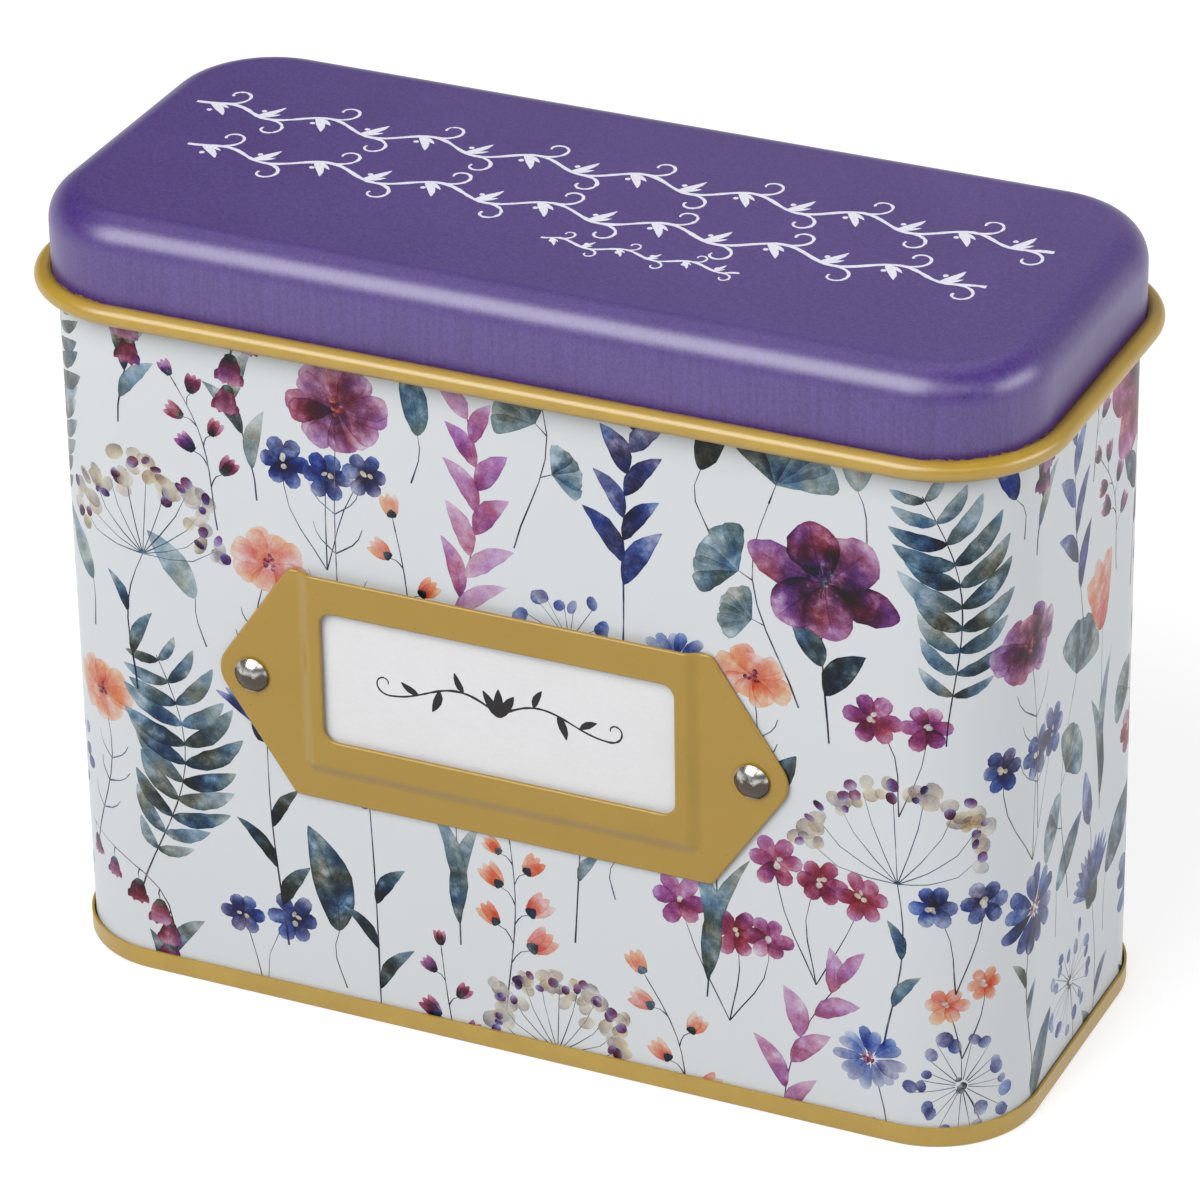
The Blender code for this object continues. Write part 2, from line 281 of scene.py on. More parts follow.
class Tree:
    """A node tree that makes a mesh from sizes with names."""

    def __init__(self, name, sizes):
        self.tree = bpy.data.node_groups.new(name, "GeometryNodeTree")
        self.keys = {}
        for size, kind in sizes:
            socket = self.tree.interface.new_socket(size, in_out="INPUT", socket_type="NodeSocket" + kind)
            self.keys[size] = socket.identifier
        self.tree.interface.new_socket("Piece", in_out="OUTPUT", socket_type="NodeSocketGeometry")
        self.given = self.tree.nodes.new("NodeGroupInput").outputs
        self.end = self.tree.nodes.new("NodeGroupOutput")

    def feed(self, socket, value):
        """Link a socket to another one, or set its value."""
        if isinstance(value, bpy.types.NodeSocket):
            self.tree.links.new(value, socket)
        else:
            socket.default_value = value

    def node(self, kind, links, **settings):
        made = self.tree.nodes.new(kind)
        for key, value in settings.items():
            setattr(made, key, value)
        for socket, value in links.items():
            self.feed(made.inputs[socket], value)
        return made

    def out(self, kind, links, **settings):
        return self.node(kind, links, **settings).outputs[0]

    def math(self, operation, first, second):
        return self.out("ShaderNodeMath", {0: first, 1: second}, operation=operation)

    def weld(self, *parts):
        links = {"Geometry": self.join(*parts), "Distance": tree_weld_reach}
        return self.out("GeometryNodeMergeByDistance", links)

    def join(self, *parts):
        both = self.node("GeometryNodeJoinGeometry", {})
        for part in parts:
            self.tree.links.new(part, both.inputs[0])
        return both.outputs[0]

    def finish(self, shape, material):
        real = self.out("GeometryNodeRealizeInstances", {"Geometry": shape})
        dressed = self.out("GeometryNodeSetMaterial", {"Geometry": real, "Material": material})
        self.tree.links.new(dressed, self.end.inputs[0])

    def grow(self, name, sizes):
        """A plain mesh piece, grown by the tree at these sizes."""
        maker = put_in_scene(name + "_maker", bpy.data.meshes.new(name))
        modifier = maker.modifiers.new("Growth", "NODES")
        modifier.node_group = self.tree
        for size, value in sizes.items():
            modifier[self.keys[size]] = value
        bpy.context.view_layer.update()
        graph = bpy.context.evaluated_depsgraph_get()
        mesh = bpy.data.meshes.new_from_object(maker.evaluated_get(graph))
        bpy.data.objects.remove(maker)
        return put_in_scene(name, mesh)


def settle(piece, node, body):
    """The piece stands for a solid of the frame and moves with its body."""
    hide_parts(node)
    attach(piece, body)


# Drawing: flat shapes of paint in millimetres, laid one over another. Larger blades have more stations
station_count = 13
station_shares = (1 - np.cos(np.pi * np.arange(station_count) / (station_count - 1))) / 2
fine_size = 3.9
coarse_size = 1.5
spine_stations = {1: [2, 4, 6, 8, 10], 2: [4, 6, 8], 3: []}
wetness = 1.2
least_half_width = 0.02


class Drawing:
    """Shapes of paint on a flat sheet. Each is a blade with a length and a width, or a thin stroke."""

    def __init__(self, seed):
        self.dice = np.random.default_rng(seed)
        self.shapes = []

    def spread(self, reach):
        return self.dice.uniform(-reach, reach)

    def near(self, value, share=0.12):
        return value * (1 + self.spread(share))

    def depths(self, foot, tip, foot_share=0.2, tip_share=0.3):
        """How deep the paint of a blade is at its foot and at its tip."""
        return self.near(foot, foot_share), self.near(tip, tip_share)

    def wet_edge(self):
        """How much one side of a blade swells and shrinks along its length."""
        waves = 1 + self.spread(0.07)
        for count in (1.5, 3.0, 5.0):
            waves = waves + 0.035 * np.sin(math.tau * (count * station_shares + self.dice.random()))
        return waves

    def blade(self, foot, heading, length, width, form, tints, bend=0.0, depth=(1.0, 1.0),
              cover=0.85, vein=0.0):
        """A petal or leaf with an uneven edge. Its width follows t^a (1-t)^b for form (a, b)."""
        a, b = form
        swell = station_shares ** a * (1 - station_shares) ** b
        swell = swell / swell.max() * width / 2
        sides = [swell * self.wet_edge() for _ in range(2)]
        size = math.sqrt(length * width)
        every = 1 if size > fine_size else 2 if size > coarse_size else 3
        used = np.arange(0, station_count, every)
        spine = spine_stations[every]

        def at_station(stations, lift):
            shares = station_shares[stations]
            return np.stack([length * shares, bend * length * 4 * shares * (1 - shares) + lift], -1)

        right = at_station(used, -sides[1][used])
        left = at_station(used, sides[0][used])
        outline = np.concatenate([right, left[1:-1][::-1]])
        points = np.concatenate([outline, at_station(spine, 0.0)])
        chain = [0] + list(range(len(outline), len(points))) + [len(used) - 1]
        cos = math.cos(heading)
        sin = math.sin(heading)
        turn = np.array([[cos, sin], [-sin, cos]])
        self.shapes.append({
            "points": points @ turn + foot,
            "outline": len(outline),
            "ribs": list(zip(chain[:-1], chain[1:])) if spine else [],
            "foot": np.array(foot, float),
            "turn": turn,
            "length": length,
            "bend": bend,
            "sides": np.maximum(sides, least_half_width),
            "tints": wetness * np.array([np.log(tints[0]) * depth[0], np.log(tints[1]) * depth[1]]),
            "cover": cover,
            "vein": vein,
            "chance": self.dice.random(),
            "stroke": False,
        })

    def stroke(self, line, width, tint, depth=1.0, cover=0.9, taper=0.5):
        """A thin line of paint along some points, finer towards its end."""
        line = np.asarray(line, float)
        way = np.gradient(line, axis=0)
        way /= np.linalg.norm(way, axis=1)[:, None] + 1e-9
        half = width / 2 * (1 - taper * np.linspace(0, 1, len(line)))
        half = half * (1 + 0.15 * self.dice.standard_normal(len(line)))
        side = np.stack([-way[:, 1], way[:, 0]], -1) * half[:, None]
        points = np.concatenate([line - side, (line + side)[::-1]])
        self.shapes.append({
            "points": points,
            "outline": len(points),
            "ribs": [],
            "foot": np.zeros(2),
            "turn": np.eye(2),
            "length": 1.0,
            "bend": 0.0,
            "sides": np.ones((2, station_count)),
            "tints": np.array([np.log(tint) * depth] * 2),
            "cover": cover,
            "vein": 0.0,
            "chance": self.dice.random(),
            "stroke": True,
        })

    def move(self, x, y):
        self.shapes = moved(self.shapes, x, y)

    def places(self, strokes):
        """The points of its strokes, or else those of its blades."""
        found = [shape["points"] for shape in self.shapes if shape["stroke"] == strokes]
        return np.concatenate(found or [np.zeros((0, 2))])


def moved(shapes, x, y):
    """Copies of shapes, set off by x and y."""
    return [{**shape, "points": shape["points"] + (x, y), "foot": shape["foot"] + (x, y)} for shape in shapes]


def arch(start, end, sway, steps=8):
    """Points of a stem that leaves its straight line by sway."""
    start = np.array(start, float)
    run = np.array(end, float) - start
    side = np.array((-run[1], run[0]))
    share = np.linspace(0, 1, steps + 1)[:, None]
    return start + run * share + side * sway * np.sin(np.pi * share ** 1.3)


def at(line, share):
    """Point and heading at a share of a line."""
    place = share * (len(line) - 1)
    index = min(int(place), len(line) - 2)
    run = line[index + 1] - line[index]
    return line[index] + run * (place - index), math.atan2(run[1], run[0])


def polar(point, heading, distance):
    return np.array(point) + distance * np.array((math.cos(heading), math.sin(heading)))


# Paints of the print, as the light they let through to the white coat below
paper = np.array((0.548, 0.572, 0.593))


def paint(red, green, blue):
    return np.clip(np.array((red, green, blue)) / paper, 0.01, 1.0)


indigo = paint(0.016, 0.026, 0.110)
dusk = paint(0.100, 0.130, 0.290)
haze = paint(0.270, 0.320, 0.440)
plum = paint(0.085, 0.016, 0.062)
mauve = paint(0.300, 0.130, 0.250)
lilac = paint(0.430, 0.300, 0.440)
magenta = paint(0.200, 0.030, 0.090)
rose = paint(0.400, 0.150, 0.250)
coral = paint(0.480, 0.190, 0.120)
peach = paint(0.560, 0.340, 0.250)
slate = paint(0.045, 0.075, 0.095)
mist = paint(0.190, 0.250, 0.270)
pine = paint(0.016, 0.030, 0.040)
stone = paint(0.350, 0.330, 0.320)
cream = paint(0.520, 0.500, 0.430)
ink = paint(0.035, 0.032, 0.050)
leafy = (slate, mist)

# Forms of blades: how steeply the width grows from the foot and falls to the tip
round_form = (0.5, 0.5)
leaf_form = (0.75, 0.95)
slim_form = (0.7, 0.9)


# Motifs: each grows from its foot at (0, 0)
def add_leaves(drawing, line, shares, length, width, tints, angle=0.6, vein=0.5):
    """Leaves on alternate sides of a stem."""
    for index, share in enumerate(shares):
        point, heading = at(line, share)
        side = 1 if index % 2 else -1
        size = drawing.near(length) * (1 - 0.35 * share)
        bend = drawing.near(-0.10) * side
        depth = drawing.depths(1.0, 0.7, 0.25, 0.3)
        way = heading + side * drawing.near(angle)
        drawing.blade(point, way, size, drawing.near(width), leaf_form, tints, bend, depth, vein=vein)


def add_dots(drawing, centre, count, reach, size, tints, cover=0.9):
    for _ in range(count):
        heading = drawing.spread(math.pi)
        point = polar(centre, heading, reach * math.sqrt(drawing.dice.random()))
        way = drawing.spread(math.pi)
        length = drawing.near(size, 0.35)
        drawing.blade(point, way, length, drawing.near(size, 0.35), round_form, tints, cover=cover)


def grow_stem(drawing, scale, height, share, lean, sway, width=0.30, tint=ink, steps=8):
    """A stem from the motif's foot up to its head. Returns its line and the head's place."""
    height = drawing.near(height, share) * scale
    head = np.array((drawing.spread(lean), height))
    stem = arch((0, 0), head, drawing.spread(sway), steps)
    drawing.stroke(stem, width, tint)
    return stem, head


def slanted(angle, tilt):
    """Share of its length that a petal shows at this angle, on a flower seen at a slant."""
    return math.hypot(math.cos(angle), tilt * math.sin(angle))


def daisy(drawing, scale, tints):
    stem, head = grow_stem(drawing, scale, 34, 0.3, 4, 0.10)
    add_leaves(drawing, stem, [0.35, 0.55], 7 * scale, 1.5 * scale, leafy, 0.5)
    reach = drawing.near(7.4) * scale
    petals = int(drawing.dice.integers(11, 15))
    tilt = drawing.dice.uniform(0.60, 1.0)
    lean = drawing.spread(0.5)
    for index in drawing.dice.permutation(petals):
        angle = math.tau * index / petals + drawing.spread(0.10)
        length = drawing.near(reach, 0.10) * slanted(angle, tilt)
        start = polar(head, angle + lean, 0.16 * length)
        depth = drawing.depths(1.1, 0.55, 0.2, 0.4)
        form = (0.85, 0.42)
        bend = drawing.spread(0.05)
        drawing.blade(start, angle + lean, length * 0.86, reach * 0.36, form, tints, bend, depth, vein=0.35)
    add_dots(drawing, head, 9, 0.17 * reach, 0.9 * scale, (plum, coral))


def tulip(drawing, scale, tints):
    stem, head = grow_stem(drawing, scale, 30, 0.25, 3, 0.08, 0.34, slate)
    for side in (-1, 1):
        foot, heading = at(stem, drawing.dice.uniform(0.05, 0.25))
        depth = (1.1, drawing.near(0.6, 0.3))
        way = heading + side * 0.22
        length = 0.62 * head[1]
        drawing.blade(foot, way, length, 2.6 * scale, slim_form, leafy, -0.10 * side, depth, vein=0.8)
    size = drawing.near(10.5) * scale
    heading = math.pi / 2 + drawing.spread(0.2)
    for turn, width in ((0.30, 0.40), (-0.30, 0.40), (0.06, 0.46), (-0.40, 0.34), (0.40, 0.34)):
        depth = drawing.depths(1.0, 0.6)
        length = drawing.near(size, 0.06)
        form = (0.55, 0.62)
        drawing.blade(head, heading + turn, length, width * size, form, tints, -0.16 * turn, depth, 0.6, 0.4)


def bells(drawing, scale, tints):
    height = drawing.near(36, 0.2) * scale
    side = 1 if drawing.dice.random() < 0.5 else -1
    stem = arch((0, 0), (side * 0.35 * height, height * 0.86), side * 0.32, 12)
    drawing.stroke(stem, 0.30, ink)
    add_leaves(drawing, stem, [0.12, 0.24, 0.36], 9 * scale, 2.3 * scale, leafy, 0.5, 0.7)
    count = int(drawing.dice.integers(5, 8))
    for index in range(count):
        share = 0.45 + 0.53 * index / (count - 1)
        point, _ = at(stem, share)
        size = drawing.near(5.6 - 2.4 * share) * scale
        hang = -math.pi / 2 + drawing.spread(0.22)
        drop = polar(point, hang, 1.6 * scale)
        drawing.stroke([point, (point + drop) / 2 + (0.2 * side, 0), drop], 0.22, ink)
        for turn in (-0.62, 0.62, -0.25, 0.25):
            tooth = polar(drop, hang + turn * 0.55, size * 0.66)
            drawing.blade(tooth, hang + turn, size * 0.42, size * 0.34, (0.5, 0.9), tints)
        depth = drawing.depths(1.2, 0.7)
        drawing.blade(drop, hang, size, size * 0.80, (0.55, 0.20), tints, 0, depth, vein=0.5)
        drawing.blade(drop, hang, size * 0.28, size * 0.40, round_form, (slate, slate))


def fern(drawing, scale, tints):
    stem, head = grow_stem(drawing, scale, 33, 0.2, 8, 0.16, steps=12)
    pairs = int(drawing.dice.integers(9, 13))
    for index in range(pairs):
        share = 0.20 + 0.78 * index / (pairs - 1)
        point, heading = at(stem, share)
        size = head[1] * 0.26 * math.sin(math.pi * (0.16 + 0.80 * (1 - share)))
        for side in (-1, 1):
            depth = drawing.depths(1.1, 0.55, 0.3, 0.4)
            angle = heading + side * drawing.near(0.95, 0.1)
            length = drawing.near(size)
            width = 0.26 * size + 0.3
            drawing.blade(point, angle, length, width, (0.6, 0.8), tints, 0.08 * side, depth, vein=0.4)


def willow(drawing, scale, tints):
    stem, _ = grow_stem(drawing, scale, 38, 0.2, 9, 0.14, steps=12)
    count = int(drawing.dice.integers(8, 12))
    shares = [0.22 + 0.74 * index / (count - 1) for index in range(count)]
    add_leaves(drawing, stem, shares, 10.5 * scale, 2.9 * scale, tints, 0.62, 0.7)
    point, heading = at(stem, 1.0)
    drawing.blade(point, heading, 7 * scale, 2.2 * scale, leaf_form, tints, 0.04, vein=0.7)


def umbel(drawing, scale, tints):
    height = drawing.near(36, 0.15) * scale
    node = np.array((drawing.spread(3), height * 0.62))
    stem = arch((0, 0), node, drawing.spread(0.10))
    drawing.stroke(stem, 0.34, ink)
    add_leaves(drawing, stem, [0.25, 0.55], 8 * scale, 1.9 * scale, leafy, 0.5)
    rays = int(drawing.dice.integers(9, 12))
    lean = drawing.spread(0.15)
    for index in range(rays):
        turn = -1.25 + 2.5 * index / (rays - 1)
        reach = height * 0.36 * (0.80 + 0.20 * math.cos(turn))
        tip = polar(node, math.pi / 2 + lean - turn, drawing.near(reach, 0.08))
        drawing.stroke(arch(node, tip, -0.10 * turn, 3), 0.20, slate)
        add_dots(drawing, tip, 4, 2.0 * scale, 2.3 * scale, (cream, stone), 0.55)
        add_dots(drawing, tip, 2, 1.7 * scale, 1.5 * scale, tints, 0.8)


def buds(drawing, scale, tints):
    stem, _ = grow_stem(drawing, scale, 28, 0.2, 7, 0.14, 0.28, steps=10)
    count = int(drawing.dice.integers(5, 8))
    for index in range(count):
        share = 0.30 + 0.70 * index / (count - 1)
        point, heading = at(stem, share)
        side = 0 if index == count - 1 else (1 if index % 2 else -1)
        angle = heading + side * drawing.near(0.75)
        tip = polar(point, angle, drawing.near(3.4) * scale * (1.2 - 0.6 * share))
        drawing.stroke(arch(point, tip, -0.15 * side, 3), 0.24, ink)
        size = drawing.near(4.4) * scale * (1.15 - 0.35 * share)
        for turn in (-0.32, 0.32, 0.0):
            depth = drawing.depths(1.2, 0.6)
            drawing.blade(tip, angle + turn, size, size * 0.42, (0.6, 0.7), tints, 0, depth, 0.6, 0.3)
        drawing.blade(tip, angle, size * 0.36, size * 0.40, (0.4, 0.9), (pine, slate))


def clematis(drawing, scale, tints):
    stem, head = grow_stem(drawing, scale, 30, 0.2, 4, 0.10, 0.36)
    add_leaves(drawing, stem, [0.30, 0.48], 10 * scale, 4.0 * scale, (pine, slate), 0.7, 0.9)
    reach = drawing.near(11.5, 0.06) * scale
    tilt = drawing.dice.uniform(0.68, 0.95)
    lean = drawing.spread(0.5)
    for index in (0, 3, 1, 4, 2, 5):
        angle = math.tau * index / 6 + drawing.spread(0.08)
        length = drawing.near(reach, 0.06) * slanted(angle, tilt)
        depth = drawing.depths(1.25, 0.75, 0.1, 0.2)
        width = reach * 0.74 * math.hypot(math.sin(angle), tilt * math.cos(angle))
        start = polar(head, angle + lean, 0.5)
        bend = drawing.spread(0.05)
        drawing.blade(start, angle + lean, length, width, (0.75, 0.62), tints, bend, depth, 0.8, 1.0)
    for index in range(15):
        angle = math.tau * index / 15 + drawing.spread(0.1)
        tip = polar(head, angle, drawing.near(2.6, 0.2) * scale)
        drawing.stroke([head, (head + tip) / 2, tip], 0.16, plum)
        add_dots(drawing, tip, 1, 0, 0.55 * scale, (ink, ink))
    add_dots(drawing, head, 7, 0.9 * scale, 0.9 * scale, (pine, plum))


def cosmos(drawing, scale, tints):
    stem, head = grow_stem(drawing, scale, 32, 0.25, 4, 0.12, 0.28)
    for share in (0.25, 0.45, 0.6):
        point, heading = at(stem, share)
        for side in (-1, 1):
            tip = polar(point, heading + side * drawing.near(0.7), drawing.near(6) * scale)
            drawing.stroke(arch(point, tip, 0.12 * side, 4), 0.26, slate)
    reach = drawing.near(7.6) * scale
    tilt = drawing.dice.uniform(0.55, 0.95)
    lean = drawing.spread(0.5)
    for index in drawing.dice.permutation(8):
        angle = math.tau * index / 8 + drawing.spread(0.08)
        length = reach * slanted(angle, tilt)
        depth = drawing.depths(1.1, 0.5)
        for side in (-0.11, 0.11):
            way = angle + lean + side
            petal = drawing.near(length, 0.06)
            drawing.blade(head, way, petal, reach * 0.50, (0.95, 0.33), tints, 0, depth, 0.7, 0.5)
    add_dots(drawing, head, 10, 1.2 * scale, 0.9 * scale, (coral, plum))


def thistle(drawing, scale, tints):
    stem, _ = grow_stem(drawing, scale, 32, 0.2, 4, 0.10, 0.36)
    add_leaves(drawing, stem, [0.2, 0.38, 0.58], 9.5 * scale, 2.1 * scale, (pine, mist), 0.65, 0.8)
    point, heading = at(stem, 1.0)
    size = drawing.near(8.2) * scale
    for index in drawing.dice.permutation(13):
        turn = -1.0 + 2.0 * index / 12
        depth = drawing.depths(1.2, 0.6, 0.2, 0.4)
        start = polar(point, heading, 1.4 * scale)
        length = drawing.near(size, 0.12)
        drawing.blade(start, heading - turn, length, 0.19 * size, (0.6, 0.7), tints, 0.05 * turn, depth)
    for row in range(3):
        for side in (-1, 0, 1):
            angle = heading - side * (0.75 - 0.12 * row)
            start = polar(point, heading, 0.5 * row * scale)
            drawing.blade(start, angle, 3.4 * scale, 2.2 * scale, (0.5, 0.9), (pine, slate), 0, cover=0.6)


def ginkgo(drawing, scale, tints):
    stem, _ = grow_stem(drawing, scale, 26, 0.25, 5, 0.16, 0.28)
    for share, size in ((1.0, 1.0), (0.62, 0.72), (0.40, 0.6)):
        point, heading = at(stem, share)
        side = drawing.dice.choice((-1, 1))
        heading += 0 if share == 1.0 else side * 0.9
        foot = polar(point, heading, 3.0 * size * scale)
        drawing.stroke([point, (point + foot) / 2, foot], 0.24, ink)
        reach = drawing.near(8.6) * size * scale
        for index in range(6):
            turn = -0.95 + 1.9 * index / 5
            depth = drawing.depths(0.7, 1.1, 0.2, 0.2)
            length = drawing.near(reach * (0.93 + 0.07 * abs(turn)), 0.04)
            width = reach * 0.44
            drawing.blade(foot, heading + turn, length, width, (1.15, 0.24), tints, 0, depth, 0.6, 0.6)


def grass(drawing, scale, tints):
    for _ in range(int(drawing.dice.integers(4, 7))):
        length = drawing.near(26, 0.3) * scale
        heading = math.pi / 2 + drawing.spread(0.4)
        depth = drawing.depths(1.1, 0.5, 0.2, 0.4)
        foot = (drawing.spread(1.5), 0)
        width = drawing.near(1.5) * scale
        drawing.blade(foot, heading, length, width, (0.5, 0.9), tints, drawing.spread(0.12), depth, vein=0.3)


def seed_clock(drawing, scale, tints):
    _, head = grow_stem(drawing, scale, 30, 0.2, 4, 0.10, 0.28)
    reach = drawing.near(6.8) * scale
    for index in range(19):
        angle = math.tau * index / 19 + drawing.spread(0.10)
        tip = polar(head, angle, drawing.near(reach, 0.16))
        drawing.stroke([polar(head, angle, 0.14 * reach), tip], 0.16, slate, cover=0.7)
        add_dots(drawing, tip, 1, 0, 1.9 * scale, tints, 0.7)
    add_dots(drawing, head, 6, 0.8 * scale, 0.9 * scale, (pine, stone))


def stars(drawing, scale, tints):
    height = drawing.near(17, 0.3) * scale
    count = int(drawing.dice.integers(2, 4))
    for index in range(count):
        aside = (index - (count - 1) / 2) * 6.5 * scale + drawing.spread(1)
        head = np.array((aside, height * drawing.dice.uniform(0.7, 1.0)))
        drawing.stroke(arch((0, 0), head, drawing.spread(0.15), 5), 0.24, ink)
        size = drawing.near(3.6) * scale
        for petal in range(6):
            angle = math.tau * petal / 6 + drawing.spread(0.1)
            depth = drawing.depths(1.2, 0.6)
            length = drawing.near(size)
            drawing.blade(head, angle, length, size * 0.66, (0.8, 0.45), tints, 0, depth, 0.7, 0.3)
        add_dots(drawing, head, 3, 0.5 * scale, 0.8 * scale, (cream, stone))


def lone_leaf(drawing, scale, tints):
    length = drawing.near(14, 0.2) * scale
    foot = np.array((drawing.spread(2), 9 * scale))
    drawing.stroke(arch((0, 0), foot, drawing.spread(0.2), 4), 0.26, ink)
    heading = math.pi / 2 + drawing.spread(0.9)
    depth = drawing.depths(1.0, 0.6, 0.3, 0.4)
    bend = drawing.spread(0.10)
    drawing.blade(foot, heading, length, length * 0.36, (0.65, 0.85), tints, bend, depth, vein=1.0)


# The print's layout: how many of each motif, its size and its paints, most of the large ones first
plan = [
    (clematis, 3, 1.0, (magenta, rose)),
    (clematis, 1, 0.9, (plum, mauve)),
    (umbel, 7, 1.0, (haze, plum)),
    (thistle, 6, 1.0, (indigo, dusk)),
    (cosmos, 4, 1.0, (plum, mauve)),
    (tulip, 4, 1.0, (coral, peach)),
    (daisy, 6, 1.0, (indigo, dusk)),
    (bells, 6, 1.0, (plum, mauve)),
    (willow, 4, 1.0, (mauve, lilac)),
    (willow, 5, 1.0, (indigo, dusk)),
    (fern, 7, 1.0, leafy),
    (ginkgo, 7, 1.0, leafy),
    (seed_clock, 5, 1.0, (haze, dusk)),
    (buds, 8, 1.0, (coral, peach)),
    (daisy, 6, 0.75, (dusk, haze)),
    (cosmos, 4, 0.72, (coral, peach)),
    (grass, 8, 0.9, leafy),
    (stars, 8, 1.0, (magenta, mauve)),
    (stars, 8, 1.0, (indigo, dusk)),
    (buds, 7, 0.8, (plum, rose)),
    (lone_leaf, 12, 1.0, (pine, slate)),
    (lone_leaf, 13, 0.8, (mist, slate)),
    (stars, 10, 0.8, (coral, peach)),
    (lone_leaf, 8, 0.7, (indigo, dusk)),
]
print_seed = 7
print_scale = 1.13
print_low = 3.2
print_high = 125.5
print_margin = 8
girth = perimeter / mm

# Crowding is kept on square cells round the wall and up it, in millimetres like the print itself
cell = 1.5
cells_round = int(girth / cell)
cells_up = int(print_high / cell) + 1
tries = 90
crowding_limit = 0.26
stem_share = 0.3
stem_mark = 0.35
near_mark = 0.45


def plant_print():
    """Set out the motifs round the wall, each where it crowds its neighbours least."""
    filled = np.zeros((cells_round, cells_up))
    dice = np.random.default_rng(print_seed)
    planted = []
    for motif, count, scale, tints in plan:
        for _ in range(count):
            drawing = Drawing(int(dice.integers(1 << 30)))
            motif(drawing, scale * print_scale, tints)
            solid = drawing.places(False)
            thin = drawing.places(True)
            centre = solid.mean(0)
            best = None
            for _ in range(tries):
                x = dice.uniform(0, girth) - centre[0]
                y = dice.uniform(print_margin, print_high - print_margin) - centre[1]
                score = crowding(filled, solid + (x, y)) + stem_share * crowding(filled, thin + (x, y))
                if best is None or score < best[0]:
                    best = (score, x, y)
            score, x, y = best
            if score > crowding_limit:
                continue
            drawing.move(x, y)
            mark(filled, solid + (x, y), 1.0)
            mark(filled, thin + (x, y), stem_mark)
            planted.append(drawing)
    shapes = []
    for drawing in reversed(planted):
        places = np.concatenate([shape["points"] for shape in drawing.shapes])
        shapes += drawing.shapes
        for shift in (-girth, girth):
            if places[:, 0].min() + shift < girth and places[:, 0].max() + shift > 0:
                shapes += moved(drawing.shapes, shift, 0)
    return shapes


def cells_of(places):
    column = np.floor(places[:, 0] / cell).astype(int) % cells_round
    row = np.floor(places[:, 1] / cell).astype(int)
    kept = (row >= 0) & (row < cells_up)
    return column[kept], row[kept]


def crowding(filled, places):
    column, row = cells_of(places)
    return filled[column, row].mean() if len(column) else 1.0


def mark(filled, places, weight):
    """Fill the cells of these places, and the cells next to them by a smaller share."""
    for step_x in (-1, 0, 1):
        for step_y in (-1, 0, 1):
            share = weight if step_x == 0 and step_y == 0 else near_mark * weight
            column, row = cells_of(places + (step_x * cell, step_y * cell))
            filled[column, row] = np.maximum(filled[column, row], share)


# How near two corners may lie before the cutting takes them for one, in millimetres
cut_reach = 1e-5
layers = 3


def cut_up(border, shapes, numbers, lines=(), holes=()):
    """Triangulate a flat area so that it is cut along shapes. Returns its points, triangles and top shapes.

    border and holes are outlines, lines are open chains of points, and numbers names each shape.
    The last few shapes over each triangle are given, lowest first, with -1 for none."""
    points = []
    edges = []
    faces = []

    def put(outline):
        first = len(points)
        points.extend(Vector((float(x), float(y))) for x, y in outline)
        return first

    for outline in [border, *holes]:
        first = put(outline)
        faces.append(list(range(first, first + len(outline))))
    for line in lines:
        first = put(line)
        edges += [(first + index, first + index + 1) for index in range(len(line) - 1)]
    first_shape = len(faces)
    for shape in shapes:
        first = put(shape["points"])
        faces.append(list(range(first, first + shape["outline"])))
        edges += [(first + a, first + b) for a, b in shape["ribs"]]
    found, _, triangles, _, _, sources = delaunay_2d_cdt(points, edges, faces, 1, cut_reach, True)
    kept = []
    tops = []
    for triangle, covered in zip(triangles, sources):
        if 0 not in covered or any(1 <= face < first_shape for face in covered):
            continue
        over = sorted(numbers[face - first_shape] for face in covered if face >= first_shape)[-layers:]
        kept.append(triangle)
        tops.append(over + [-1] * (layers - len(over)))
    found = np.array([tuple(point) for point in found])
    used, kept = np.unique(np.array(kept), return_inverse=True)
    return found[used], kept.reshape(-1, 3), np.array(tops)


class Paints:
    """The paint that each shape lays down, at any place in it."""

    def __init__(self, shapes):
        for key in ("foot", "turn", "length", "bend", "sides", "tints", "cover", "vein", "chance", "stroke"):
            setattr(self, key, np.array([shape[key] for shape in shapes]))

    def places(self, which, points):
        """How far along its shape each point is, from 0 to 1, and how far across, from -1 to 1."""
        local = np.einsum("nij,nj->ni", self.turn[which], points - self.foot[which])
        share = np.clip(local[:, 0] / self.length[which], 0, 1)
        middle = self.bend[which] * self.length[which] * 4 * share * (1 - share)
        aside = local[:, 1] - middle
        station = np.arccos(1 - 2 * share) * (station_count - 1) / np.pi
        before = np.clip(station.astype(int), 0, station_count - 2)
        gap = station_shares[before + 1] - station_shares[before]
        part = (share - station_shares[before]) / gap
        side = (aside < 0).astype(int)
        low = self.sides[which, side, before]
        high = self.sides[which, side, before + 1]
        across = np.clip(aside / (low + (high - low) * part), -1, 1)
        plain = self.stroke[which]
        return np.where(plain, 0.5, share), np.where(plain, 0.0, across)

    def mixed(self, tops, points):
        """Light let through by the paint at each point, and the place in its top shape."""
        passed = np.ones((len(points), 3))
        marks = np.zeros((len(points), 4))
        for layer in range(tops.shape[1]):
            here = tops[:, layer] >= 0
            which = tops[here, layer]
            share, across = self.places(which, points[here])
            foot_tint, tip_tint = self.tints[which, 0], self.tints[which, 1]
            tint = np.exp(foot_tint * (1 - share)[:, None] + tip_tint * share[:, None])
            below = passed[here]
            passed[here] = (below + (1 - below) * self.cover[which][:, None]) * tint
            marks[here] = np.stack([share, across, self.vein[which], self.chance[which]], -1)
        return passed, marks


